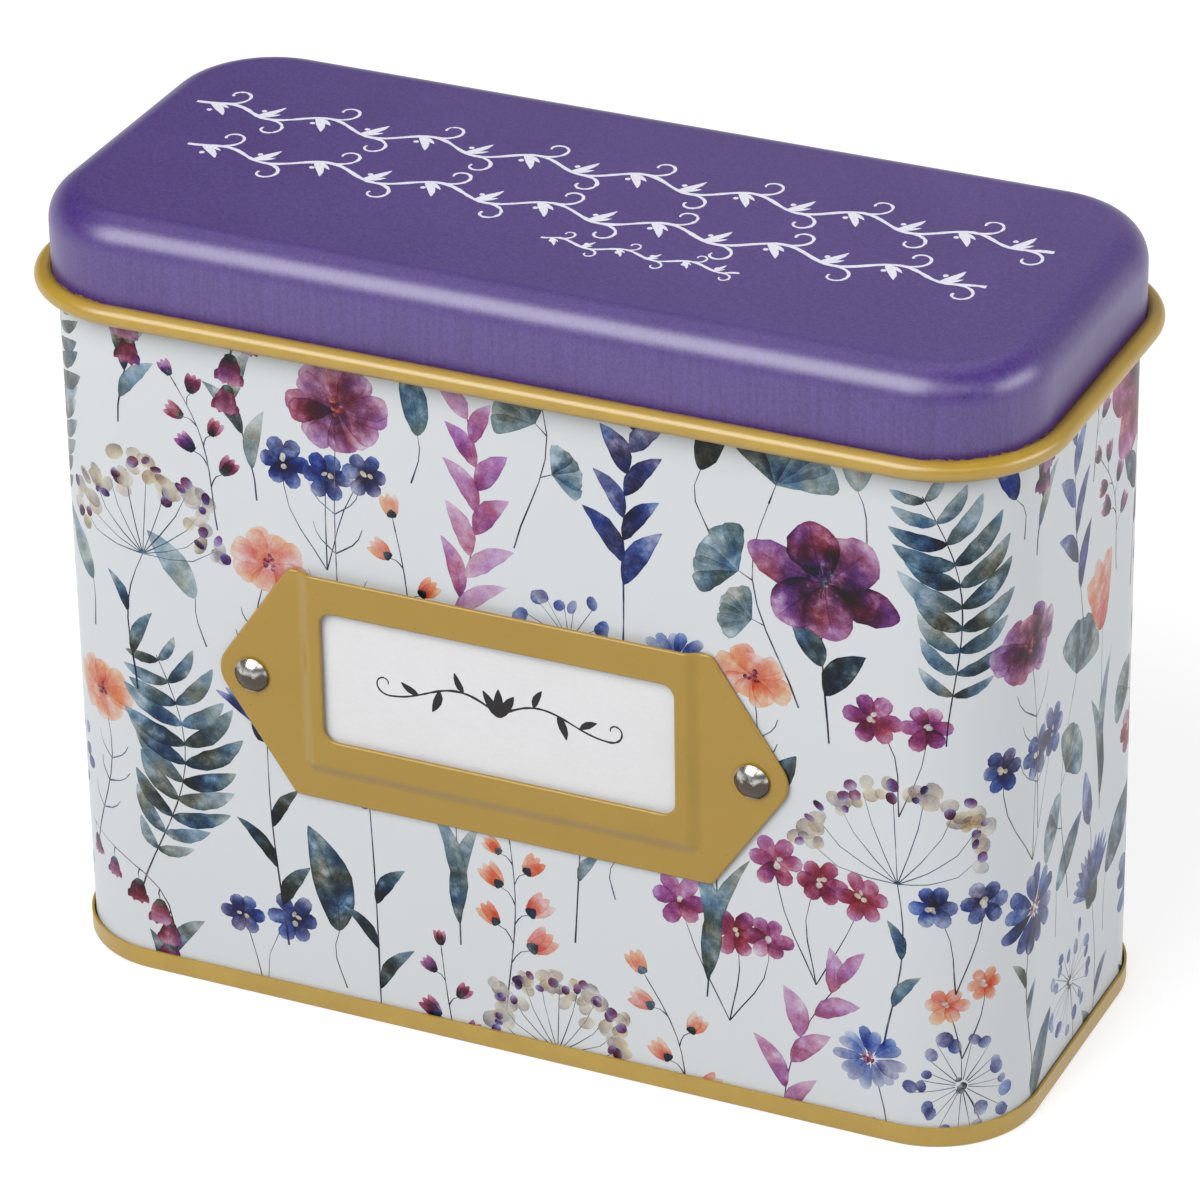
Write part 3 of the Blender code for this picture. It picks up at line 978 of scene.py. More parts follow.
# Body wall: the printed skin in tiles, then the hem, the inside and the foot
print_rows = 3
straight_parts = 6
side_parts = 3
tile_corner_parts = 2
seam_columns = np.array([0.0, 0.12, 0.26, 1.85, 2.0]) * mm
seam_slope = 0.15 * mm
seam_end = 0.2 * mm
skin_foot = wall_foot + 0.3 * mm
skin_top = print_high * mm + 0.4 * mm
skin_reach = 0.02 * mm

# The wall's map: the skin's left half below, its right half above, and the inside in a strip on top
map_margin = 0.01
map_width = 0.98
left_start = 0.01
right_start = 0.46
half_rise = 0.43
map_top = print_high * mm + 0.5 * mm
inside_start = 0.91
inside_rise = 0.08


def groove_at(along):
    """Depth of the joint line in the outer face, where the strip's two ends meet."""
    nearest = np.minimum(along, perimeter - along)
    return seam_groove * np.clip(1 - nearest / seam_columns[2], 0, 1)


def on_skin(along, height):
    """Points of the wall's outer face."""
    return on_outline(along, -groove_at(along), height)


def cut_skin(shapes, columns):
    """Cut the shapes into the skin, tile by tile. Returns its places, triangles and top shapes."""
    lows = np.array([shape["points"].min(0) for shape in shapes])
    highs = np.array([shape["points"].max(0) for shape in shapes])
    borders = columns_of(straight_parts, side_parts, tile_corner_parts)
    levels = np.linspace(print_low, print_high, print_rows + 1)
    places = []
    triangles = []
    tops = []
    count = 0
    for left, right in zip(borders[:-1] / mm, borders[1:] / mm):
        lines_at = [x for x in columns / mm if left + 1e-6 < x < right - 1e-6]
        for low, high in zip(levels[:-1], levels[1:]):
            bottom = [left] + lines_at + [right]
            border = [(x, low) for x in bottom] + [(x, high) for x in reversed(bottom)]
            lines = [[(x, low), (x, high)] for x in lines_at]
            inside = (lows[:, 0] < right) & (highs[:, 0] > left) & (lows[:, 1] < high) & (highs[:, 1] > low)
            numbers = np.nonzero(inside)[0]
            found, kept, over = cut_up(border, [shapes[number] for number in numbers], numbers, lines)
            places.append(found)
            triangles.append(kept + count)
            tops.append(over)
            count += len(found)
    return np.concatenate(places), np.concatenate(triangles), np.concatenate(tops)


def edge_strips(places, columns):
    """Outlines of the plain strips below and above the print. They take up the corners of its edge."""
    strips = []
    for level, edge, upward in ((print_low, skin_foot, False), (print_high, skin_top, True)):
        row = np.unique(places[np.abs(places[:, 1] - level) < 1e-4][:, 0].round(4))
        for left, right in zip(columns[:-1] / mm, columns[1:] / mm):
            between = row[(row > left + 2e-3) & (row < right - 2e-3)]
            near_side = [left, *between, right]
            outline = [(left, edge / mm), (right, edge / mm)] + [(x, level) for x in reversed(near_side)]
            strips.append(np.array(outline[::-1] if upward else outline))
    return strips


def wall_section():
    """The hem, the inside and the foot as (distance outside the wall, height).

    Also gives the finish of each run between two corners, and which corners lie on the folded seam."""
    outer_radius = hem_radius + sheet / 2
    inner_radius = hem_radius - sheet / 2
    centre = (-sheet / 2 - hem_radius, hem_height)
    hem_foot = hem_height - hem_depth
    seam_low = floor_height + seat_gap
    seam_high = hem_foot - seat_gap
    outside = [(0, skin_top)] + list(arc(centre, outer_radius, 0, 180, 2 * bend_steps))
    outside += [(centre[0] - outer_radius, hem_foot)]
    inside = [(centre[0] - outer_radius, hem_foot), (centre[0] - inner_radius, hem_foot)]
    inside += list(arc(centre, inner_radius, 180, -180, 2 * bend_steps))
    for height in (seam_high, seam_high - seam_end, seam_low + seam_end, seam_low, wall_foot):
        inside.append((-sheet, height))
    inside += [(0, wall_foot), (0, skin_foot)]
    section = np.array(outside + inside[1:])
    finish = [0] * (len(outside) - 1) + [1] * (len(inside) - 1)
    out, height = section.T
    between = (height < seam_high - seam_end / 2) & (height > seam_low + seam_end / 2)
    return section, finish, between & (out < -sheet / 2) & (out > -1.1 * sheet)


def inside_map(section, columns):
    """Places in the wall's map for the faces that the section sweeps out."""
    lengths = np.concatenate([[0], np.cumsum(np.linalg.norm(np.diff(section, axis=0), axis=1))])
    lengths = lengths / lengths[-1]
    places = []
    for row in range(len(section) - 1):
        for column in range(len(columns) - 1):
            for step, down in ((0, 0), (0, 1), (1, 1), (1, 0)):
                across = columns[column + step] / perimeter
                up = inside_start + inside_rise * lengths[row + down]
                places.append((map_margin + map_width * across, up))
    return np.array(places)


def make_wall(finishes):
    shapes = plant_print()
    columns = columns_of(straight_parts, side_parts, print_corner_steps)
    extra = np.concatenate([seam_columns[1:], perimeter - seam_columns[1:]])
    columns = np.unique(np.concatenate([columns, extra]).round(9))
    places, triangles, tops = cut_skin(shapes, columns)
    flat = places[triangles.ravel()]
    passed, marks = Paints(shapes).mixed(np.repeat(tops, 3, 0), flat)
    wall = Shell()
    wall.add(on_skin(places[:, 0] * mm, places[:, 1] * mm), triangles, 0)
    strips = edge_strips(places, columns)
    for outline in strips:
        wall.add(on_skin(outline[:, 0] * mm, outline[:, 1] * mm), [range(len(outline))], 0)
    strip_places = np.concatenate(strips)

    section, finish, folded = wall_section()
    backward = columns[::-1]
    near = np.minimum(backward, perimeter - backward)
    bump = seam_thickness * np.clip((seam_half - near) / seam_slope, 0, 1)
    swept = []
    for (out, height), fold in zip(section, folded):
        swept.append((out - bump * fold - groove_at(backward) * (abs(out) < 1e-9), height))
    wall.sweep(backward, swept, finish)

    skin_uv = sheet_uv(flat[:, 0] * mm, flat[:, 1] * mm)
    strip_uv = sheet_uv(strip_places[:, 0] * mm, strip_places[:, 1] * mm)
    uv = np.concatenate([skin_uv, strip_uv, inside_map(section, backward)])
    blank = len(uv) - triangles.size
    passed = np.concatenate([passed, np.ones((blank, 3))])
    marks = np.concatenate([marks, np.zeros((blank, 4))])
    return finish_wall(wall, finishes, uv, passed, marks)


def sheet_uv(along, up):
    """Places in the wall's map for corners of the skin."""
    half = perimeter / 2
    second = along > half
    second = np.repeat(second.reshape(-1, 3).all(1), 3) if len(along) % 3 == 0 else second
    u = map_margin + map_width * np.clip(np.where(second, along - half, along), 0, half) / half
    v = np.where(second, right_start, left_start) + half_rise * up / map_top
    return np.stack([u, v], -1)


def close_cracks(work, reach):
    """Where a corner of one face lies on an open edge of the next, split that edge there and join the two."""
    rim = [edge for edge in work.edges if edge.is_boundary]
    loose = {vert for edge in rim for vert in edge.verts}
    for edge in rim:
        first, last = edge.verts
        run = last.co - first.co
        shares = []
        for vert in loose - {first, last}:
            share = (vert.co - first.co).dot(run) / run.length_squared
            if 0.0 < share < 1.0 and (first.co + run * share - vert.co).length < reach:
                shares.append(share)
        for share in sorted(shares, reverse=True):
            left = (last.co - first.co).length / run.length
            edge, last = bmesh.utils.edge_split(edge, first, share / left)
            edge = next(other for other in last.link_edges if first in other.verts)
    bmesh.ops.remove_doubles(work, verts=work.verts, dist=reach)
    for _ in range(5):
        rim = {face for edge in work.edges if edge.is_boundary for face in edge.link_faces}
        stray = [face for face in rim if sum(len(edge.link_faces) != 2 for edge in face.edges) > 1]
        bmesh.ops.delete(work, geom=stray, context="FACES")


def finish_wall(wall, finishes, uv, passed, marks):
    """Give the wall its map and the print's attributes, join it up and set the skin's normals."""
    mesh = wall.mesh("body_wall_printed")
    mesh.uv_layers.new(name="OFBake").data.foreach_set("uv", uv.astype(np.float32).ravel())
    passed = np.concatenate([passed, np.ones((len(passed), 1))], 1)
    for name, values in (("print_light", passed), ("print_place", marks)):
        layer = mesh.color_attributes.new(name, "FLOAT_COLOR", "CORNER")
        layer.data.foreach_set("color", values.astype(np.float32).ravel())
    piece = join_up(mesh, finishes, 40, crack_reach)
    points = np.zeros(len(mesh.vertices) * 3)
    mesh.vertices.foreach_get("co", points)
    points = points.reshape(-1, 3)
    corner = np.zeros(len(mesh.loops), np.int32)
    mesh.loops.foreach_get("vertex_index", corner)
    flat = points[:, :2] - np.clip(points[:, :2], (-inner_x, -inner_y), (inner_x, inner_y))
    reach = np.linalg.norm(flat, axis=1)
    normals = np.concatenate([flat / reach[:, None], np.zeros((len(points), 1))], 1)
    skin = (reach > corner_radius - skin_reach) & (points[:, 2] < hem_height)
    sizes = np.zeros(len(mesh.polygons), np.int32)
    mesh.polygons.foreach_get("loop_total", sizes)
    whole = np.minimum.reduceat(skin[corner], np.concatenate([[0], np.cumsum(sizes)[:-1]]))
    chosen = np.repeat(whole, sizes)[:, None] * normals[corner]
    mesh.normals_split_custom_set(chosen)
    return piece


# Ornament: a running vine with alternate leaves and curls, drawn in one colour
silver_tint = (0.7, 0.7, 0.7)
pen_tint = (0.5, 0.5, 0.5)


def vine(drawing, start, end, waves, swell, leaf, tint, width):
    """A wavy stem with a leaf on each crest and a curl in each hollow."""
    steps = waves * 16
    share = np.linspace(0, 1, steps + 1)
    run = np.array(end) - np.array(start)
    x = start[0] + run[0] * share
    fade = np.minimum(1, np.minimum(share, 1 - share) * 14)
    y = start[1] + run[1] * share + swell * np.sin(share * waves * math.tau) * fade
    line = np.stack([x, y], -1)
    drawing.stroke(line, width, tint, taper=0.0)
    for index in range(2 * waves):
        place = (index + 0.5) / (2 * waves)
        point, heading = at(line, place)
        side = 1 if index % 2 == 0 else -1
        curl(drawing, point, heading + side * 0.2, leaf * 0.80, side, tint, width * 0.8)
        for turn, size in ((0.85, 0.85), (0.35, 0.60)):
            foot, _ = at(line, max(place - 0.25 / (2 * waves), 0))
            way = heading - side * turn
            leaf_width = leaf * 0.25 * size
            drawing.blade(foot, way, leaf * size, leaf_width, slim_form, (tint, tint), 0.08 * side)
        berry = polar(point, heading - side * 2.2, leaf * 0.55)
        drawing.blade(berry, 0, 0.9, 0.9, round_form, (tint, tint))


def curl(drawing, point, heading, reach, side, tint, width):
    """A tendril that winds in on itself."""
    line = [np.array(point, float)]
    steps = 22
    for index in range(steps):
        turn = side * 5.4 * (index / steps) ** 1.25
        step = reach * 2.9 / steps * (1 - 0.62 * index / steps)
        line.append(polar(line[-1], heading + turn, step))
    drawing.stroke(line, width, tint, taper=0.35)


def make_lid(finishes):
    bead_middle = bead_radius - sheet / 2
    skin = lid_gap + sheet / 2
    shoulder = (lid_gap + sheet - shoulder_radius, shoulder_height)
    middle = list(arc(shoulder, shoulder_radius - sheet / 2, 90, -90, shoulder_steps))
    for share in (0.3, 0.6, 0.9):
        middle.append((skin, shoulder_height + (bead_height - shoulder_height) * share))
    middle += list(arc((skin + bead_middle, bead_height), bead_middle, 180, bead_turn, bead_steps))
    outside, inside = both_sides(np.array(middle), sheet)
    columns = columns_of(lid_straight_parts, lid_side_parts, corner_steps)
    lid = Shell()
    section = np.concatenate([outside, inside[::-1]])
    finish = [0] * (len(outside) - 1) + [1] * len(inside)
    lid.sweep(columns, section, finish)

    border = on_outline(columns[:-1], outside[0][0], tin_height)[:, :2] / mm
    drawing = Drawing(31)
    long_row = {"swell": 1.9, "leaf": 6.2, "tint": silver_tint, "width": 0.72}
    vine(drawing, (-72, 10.0), (70, 10.0), 8, **long_row)
    vine(drawing, (-66, -4.6), (65, -4.6), 7, **long_row)
    vine(drawing, (-2, -14.2), (30, -14.2), 3, 0.9, 3.2, silver_tint, 0.5)
    found, kept, tops = cut_up(border, drawing.shapes, range(len(drawing.shapes)))
    level = np.full(len(found), tin_height)
    lid.add(np.concatenate([found * mm, level[:, None]], 1), kept, (tops[:, 0] >= 0).astype(int) * 2)
    under = on_outline(columns[:-1], *inside[0])
    lid.add(under, [tuple(range(len(under)))[::-1]], 1)
    settle(lid.make("lid_drawn", finishes), "lid", "lid")


def pan_tree(finish):
    """The base: a sheet folded up outside and inside the wall's foot, carried round the box, with a floor."""
    names = ["Length", "Depth", "Corner", "Rim Out", "Rim Height", "Fold Out", "Floor Out", "Floor Height"]
    tree = Tree("base_pan", [(name, "Float") for name in names + ["Bend", "Floor Bend", "Sheet"]])
    given = tree.given

    def outline(length, depth, corner):
        around = tree.out("GeometryNodeCurvePrimitiveQuadrilateral", {"Width": length, "Height": depth})
        links = {"Curve": around, "Radius": corner, "Count": corner_steps}
        return tree.out("GeometryNodeFilletCurve", links, mode="POLY")

    def plus_twice(size, out):
        return tree.math("ADD", size, tree.math("MULTIPLY", out, 2.0))

    def by_turn(kind, values):
        """One value for each corner of the section."""
        switch = tree.tree.nodes.new("GeometryNodeIndexSwitch")
        switch.data_type = kind
        for _ in values[2:]:
            switch.index_switch_items.new()
        tree.feed(switch.inputs["Index"], tree.out("GeometryNodeInputIndex", {}))
        for value, socket in zip(values, list(switch.inputs)[1:]):
            tree.feed(socket, value)
        return switch.outputs[0]

    def corner(out, height):
        return tree.out("ShaderNodeCombineXYZ", {"X": out, "Y": tree.math("MULTIPLY", height, -1.0)})

    corners = [corner(given["Rim Out"], given["Rim Height"]), corner(given["Rim Out"], 0.0)]
    corners += [corner(given["Fold Out"], 0.0), corner(given["Fold Out"], given["Floor Height"])]
    corners += [corner(given["Floor Out"], given["Floor Height"])]
    dots = tree.out("GeometryNodeMeshLine", {"Count": len(corners)})
    dots = tree.out("GeometryNodeSetPosition", {"Geometry": dots, "Position": by_turn("VECTOR", corners)})
    section = tree.out("GeometryNodeMeshToCurve", {"Mesh": dots})
    bends = by_turn("FLOAT", [0.0, given["Bend"], given["Bend"], given["Floor Bend"], 0.0])
    links = {"Curve": section, "Radius": bends, "Count": bend_steps}
    section = tree.out("GeometryNodeFilletCurve", links, mode="POLY")
    path = outline(given["Length"], given["Depth"], given["Corner"])
    strip = tree.out("GeometryNodeCurveToMesh", {"Curve": path, "Profile Curve": section})
    length = plus_twice(given["Length"], given["Floor Out"])
    depth = plus_twice(given["Depth"], given["Floor Out"])
    edge = outline(length, depth, tree.math("ADD", given["Corner"], given["Floor Out"]))
    floor = tree.out("GeometryNodeFillCurve", {"Curve": edge}, mode="NGONS")
    lift = tree.out("ShaderNodeCombineXYZ", {"Z": given["Floor Height"]})
    floor = tree.out("GeometryNodeSetPosition", {"Geometry": floor, "Offset": lift})
    floor = tree.out("GeometryNodeFlipFaces", {"Mesh": floor})
    skin = tree.weld(strip, floor)
    links = {"Mesh": skin, "Offset Scale": given["Sheet"], "Individual": False}
    push = tree.out("GeometryNodeExtrudeMesh", links, mode="FACES")
    pan = tree.weld(push, tree.out("GeometryNodeFlipFaces", {"Mesh": skin}))
    tree.finish(tree.out("GeometryNodeFlipFaces", {"Mesh": pan}), finish)
    return tree


def make_base(finish):
    sizes = {
        "Length": body_width,
        "Depth": body_depth,
        "Corner": corner_radius,
        "Rim Out": seat_gap + sheet,
        "Rim Height": rim_height,
        "Fold Out": -2 * sheet - seat_gap,
        "Floor Out": -2 * sheet - seat_gap - 2 * floor_bend,
        "Floor Height": floor_height - sheet,
        "Bend": rim_bend + sheet / 2,
        "Floor Bend": floor_bend - sheet / 2,
        "Sheet": -sheet,
    }
    piece = pan_tree(finish).grow("base_pan", sizes)
    piece.data.shade_smooth()
    piece.data.set_sharp_from_angle(angle=math.radians(35))
    even_normals(piece)
    settle(piece, "base_panel", "body")


# Label holder: its places are across and up from its middle, and out from the wall
ramp_lines = 10
hole_steps = 24


def panel_depth(x, z):
    """How far in from the panel's edge a place is. The panel runs on past the open top."""
    aside = np.abs(x) - (panel_half - panel_corner)
    below = (panel_foot + panel_corner) - z
    away = np.hypot(np.maximum(aside, 0), np.maximum(below, 0)) + np.minimum(np.maximum(aside, below), 0)
    return panel_corner - away


def panel_height(x, z):
    share = np.clip(panel_depth(x, z) / panel_ramp, 0, 1)
    return panel_rise * share * share * (3 - 2 * share)


def loop_normals(loop):
    """Outward directions of a closed outline that runs counterclockwise."""
    run = np.roll(loop, -1, 0) - loop
    run /= np.linalg.norm(run, axis=1)[:, None]
    both = run + np.roll(run, 1, 0)
    both /= np.linalg.norm(both, axis=1)[:, None]
    return np.stack([both[:, 1], -both[:, 0]], -1)


def make_holder(finish):
    flat = holder_half - holder_point
    corners = [(-flat, -holder_rise), (flat, -holder_rise), (holder_half, 0)]
    corners += [(flat, holder_rise), (-flat, holder_rise), (-holder_half, 0)]
    radii = [holder_corner_radius, holder_corner_radius, holder_tip_radius] * 2
    outline = rounded_outline(corners, radii, 8)
    depths = np.linspace(0, panel_ramp, ramp_lines)
    top_places = np.array([side * (panel_half - depth) for side in (1, -1) for depth in depths])
    top_places = np.sort(top_places)[::-1]
    after = np.roll(outline, -1, 0)
    start = np.nonzero((outline[:, 1] > holder_rise - 1e-7) & (after[:, 0] < -flat / 2))[0][0]
    added = np.stack([top_places, np.full(len(top_places), holder_rise)], -1)
    outline = np.concatenate([outline[:start + 1], added, outline[start + 1:]])
    window = rounded_outline(rectangle(window_half, window_foot, window_top), [window_radius] * 4, 8)
    holes = [arc((side * rivet_place, 0), rivet_hole, 0, 360, hole_steps)[:-1] for side in (-1, 1)]
    holder = Shell()

    def place(plan, out):
        """Points of the holder from places on its plan and distances out from the wall."""
        high = panel_height(plan[:, 0], plan[:, 1])
        return np.stack([holder_x + plan[:, 0], front - out - high, holder_z + plan[:, 1]], -1)

    back = seat_gap
    face = seat_gap + holder_sheet
    inner_loops = []
    for loop, sign in [(outline, 1), (window, -1), (holes[0], -1), (holes[1], -1)]:
        normals = loop_normals(loop) * sign
        rows = []
        for share in np.arange(6) / 5:
            angle = share * math.pi / 2
            inset = holder_roll * (1 - math.sin(angle))
            drop = holder_roll * (1 - math.cos(angle))
            rows.append(place(loop - normals * inset, face - drop))
        rows.append(place(loop, back))
        rows = np.array(rows)
        rows = np.concatenate([rows, rows[:, :1]], 1)
        holder.grid(rows if sign > 0 else rows[:, ::-1])
        inner_loops.append(loop - normals * holder_roll)

    lines = []
    for depth in depths:
        half = panel_half - depth
        radius = max(panel_corner - depth, 0.05 * mm)
        low = panel_foot + depth
        top = holder_rise - holder_roll
        line = [(-half, top), (-half, top / 2), (-half, 0)]
        line += list(arc((-half + radius, low + radius), radius, 180, 90, 6))
        line += list(arc((half - radius, low + radius), radius, 270, 90, 6))
        line += [(half, 0), (half, top / 2), (half, top)]
        lines.append(np.array(line) / mm)
    found, kept, _ = cut_up(inner_loops[0] / mm, [], [], lines, [loop / mm for loop in inner_loops[1:]])
    holder.add(place(found * mm, face), kept)
    for line in lines:
        line[[0, -1], 1] = holder_rise / mm
    found, kept, _ = cut_up(outline / mm, [], [], lines, [loop / mm for loop in (window, *holes)])
    holder.add(place(found * mm, back), kept[:, ::-1])
    piece = holder.make("label_holder_pressed", [finish], 40)
    settle(piece, "label_holder", "body")


def turned(section, centre, steps, name, finish):
    """A round piece on an axis that points to the front, from places (radius, distance out from the wall)."""
    angles = math.tau * np.arange(steps + 1) / steps
    rows = []
    for radius, out in section:
        x = centre[0] + radius * np.cos(angles)
        z = centre[1] + radius * np.sin(angles)
        rows.append(np.stack([x, np.full(steps + 1, front - out), z], -1))
    shell = Shell()
    shell.grid(np.array(rows))
    return shell.make(name, [finish], 50)


def make_rivets(finish):
    head = seat_gap + holder_sheet + seat_gap
    sphere = (rivet_head_radius ** 2 + rivet_head_height ** 2) / (2 * rivet_head_height)
    half_angle = math.degrees(math.asin(rivet_head_radius / sphere))
    dome = arc((0, head + rivet_head_height - sphere), sphere, 90, -half_angle * 0.97, 14)
    dome[0, 0] = near_axis
    tail = -sheet - seat_gap
    tail_end = tail - rivet_tail_height
    section = list(dome)
    section += [(rivet_head_radius, head + rivet_edge), (rivet_head_radius - rivet_edge, head)]
    section += [(rivet_shank_radius, head), (rivet_shank_radius, tail)]
    section += [(rivet_tail_radius, tail), (rivet_tail_radius, tail_end + rivet_edge)]
    section += [(rivet_tail_radius - rivet_edge, tail_end), (0.5 * rivet_tail_radius, tail_end)]
    section += [(0.4 * rivet_tail_radius, tail_end + 2 * rivet_edge), (near_axis, tail_end + 2 * rivet_edge)]
    for name, side in (("left", -1), ("right", 1)):
        centre = (holder_x + side * rivet_place, holder_z)
        piece = turned(section, centre, 48, f"rivet_{name}_domed", finish)
        settle(piece, f"rivet_{name}", "body")


# Flat cards: the label, the packs and the dividers
def upright(plan, centre, y):
    """Points of a card that stands upright at y, from places on its plan."""
    return np.stack([centre[0] + plan[:, 0], np.full(len(plan), y), centre[1] + plan[:, 1]], -1)


def make_label(finishes):
    """The card behind the window, with a small pen flourish."""
    half_width = (label_high.x - label_low.x) / 2
    half_height = (label_high.z - label_low.z) / 2
    centre = ((label_low.x + label_high.x) / 2, (label_low.z + label_high.z) / 2)
    outline = rounded_outline(rectangle(half_width, -half_height, half_height), [label_corner] * 4, 5)
    drawing = Drawing(5)
    middle = (holder_z + (window_foot + window_top) / 2 - centre[1]) / mm
    for side in (-1, 1):
        share = np.linspace(0, 1, 25)
        x = side * (1.2 + 16.5 * share)
        y = middle + 2.1 * np.sin(share * 4.4) * (1 - 0.35 * share)
        line = np.stack([x, y], -1)
        drawing.stroke(line, 0.42, pen_tint, taper=0.2)
        point, heading = at(line, 1.0)
        curl(drawing, point, heading, 3.4, side, pen_tint, 0.36)
        for place, turn, size in ((0.28, 1.0, 3.6), (0.52, -0.9, 4.2), (0.74, 0.9, 3.4)):
            foot, heading = at(line, place)
            way = heading + side * turn
            drawing.blade(foot, way, size, size * 0.34, slim_form, (pen_tint, pen_tint), 0.06)
    for turn in (-0.55, 0.0, 0.55):
        way = math.pi / 2 + turn
        drawing.blade((0, middle - 1.2), way, 5.0, 1.7, slim_form, (pen_tint, pen_tint))
    card = Shell()
    found, kept, tops = cut_up(outline / mm, drawing.shapes, range(len(drawing.shapes)))
    card.add(upright(found * mm, centre, label_low.y), kept, (tops[:, 0] >= 0).astype(int))
    ring = np.concatenate([outline, outline[:1]])
    card.grid(np.array([upright(ring, centre, y) for y in (label_low.y, label_high.y)]))
    card.add(upright(outline, centre, label_high.y), [tuple(range(len(outline)))[::-1]])
    piece = card.make("label_card_drawn", finishes, 30, False)
    settle(piece, "label_card", "label_card")


def card_tree(finish):
    """Thin cards set one behind another, a little uneven."""
    sizes = [(name, "Float") for name in ("Width", "Height", "Thickness", "Pitch", "Corner", "Unevenness")]
    sizes += [("Count", "Int"), ("Seed", "Int"), ("Foot", "Vector")]
    tree = Tree("card_pack", sizes)
    given = tree.given
    links = {"Width": given["Width"], "Height": given["Height"]}
    outline = tree.out("GeometryNodeCurvePrimitiveQuadrilateral", links)
    links = {"Curve": outline, "Radius": given["Corner"], "Count": 5}
    fillet = tree.out("GeometryNodeFilletCurve", links, mode="POLY")
    fill = tree.out("GeometryNodeFillCurve", {"Curve": fillet}, mode="NGONS")
    links = {"Mesh": fill, "Offset Scale": given["Thickness"]}
    push = tree.out("GeometryNodeExtrudeMesh", links, mode="FACES")
    card = tree.weld(push, tree.out("GeometryNodeFlipFaces", {"Mesh": fill}))
    pitch = tree.out("ShaderNodeCombineXYZ", {"Y": given["Pitch"]})
    links = {"Count": given["Count"], "Start Location": given["Foot"], "Offset": pitch}
    line = tree.out("GeometryNodeMeshLine", links)
    low = tree.math("MULTIPLY", given["Unevenness"], -1.0)
    lowest = tree.out("ShaderNodeCombineXYZ", {"X": low, "Z": 0.0})
    highest = tree.out("ShaderNodeCombineXYZ", {"X": given["Unevenness"], "Z": given["Unevenness"]})
    between = {0: lowest, 1: highest, "Seed": given["Seed"]}
    shift = tree.out("FunctionNodeRandomValue", between, data_type="FLOAT_VECTOR")
    uneven = tree.out("GeometryNodeSetPosition", {"Geometry": line, "Offset": shift})
    stand = tree.out("FunctionNodeEulerToRotation", {0: (math.pi / 2, 0, 0)})
    spread = {"Points": uneven, "Instance": card, "Rotation": stand}
    tree.finish(tree.out("GeometryNodeInstanceOnPoints", spread), finish)
    return tree


def make_packs(finish):
    tree = card_tree(finish)
    for index in range(pair_count):
        name = f"card_pack_{index + 1}"
        low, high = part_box(name)
        pitch = (high.y - low.y) / cards_in_pack
        thickness = pitch * card_share
        height = high.z - low.z - 2 * card_slack
        sizes = {
            "Width": high.x - low.x - 2 * card_slack,
            "Height": height,
            "Thickness": thickness,
            "Pitch": pitch,
            "Corner": card_corner,
            "Unevenness": card_slack,
            "Count": cards_in_pack,
            "Seed": index,
            "Foot": (0.0, low.y + thickness, low.z + height / 2),
        }
        settle(tree.grow(name + "_cards", sizes), name, name)


def make_dividers(finishes):
    for index in range(pair_count):
        name = f"divider_{index + 1}"
        low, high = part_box(name)
        half = (high.x - low.x) / 2
        side = half - card_corner
        body_top = high.z - tab_height - low.z
        top = body_top + tab_height - tab_corner
        free = 2 * half - tab_width - 2 * card_corner - 2 * tab_corner
        tab_start = -half + card_corner + tab_corner + free * index / (pair_count - 1)
        tab_end = tab_start + tab_width
        rounds = [
            ((-side, card_corner), card_corner, 180, 90, 6),
            ((side, card_corner), card_corner, 270, 90, 6),
            ((side, body_top - card_corner), card_corner, 0, 90, 6),
            ((tab_end + tab_foot, body_top + tab_foot), tab_foot, 270, -90, 5),
            ((tab_end - tab_corner, top), tab_corner, 0, 90, 6),
            ((tab_start + tab_corner, top), tab_corner, 90, 90, 6),
            ((tab_start - tab_foot, body_top + tab_foot), tab_foot, 0, -90, 5),
            ((-side, body_top - card_corner), card_corner, 90, 90, 6),
        ]
        outline = np.concatenate([arc(centre, *bend) for centre, *bend in rounds])
        ring = np.concatenate([outline, outline[:1]])
        centre = (0.0, low.z)
        card = Shell()
        card.grid(np.array([upright(ring, centre, y) for y in (low.y, high.y)]))
        numbers = tuple(range(len(outline)))
        card.add(upright(outline, centre, low.y), [numbers])
        card.add(upright(outline, centre, high.y), [numbers[::-1]])
        piece = card.make(name + "_tabbed", [finishes[index]], 30, False)
        settle(piece, name, name)


# Finishes
noise_low = 0.3
noise_high = 0.7


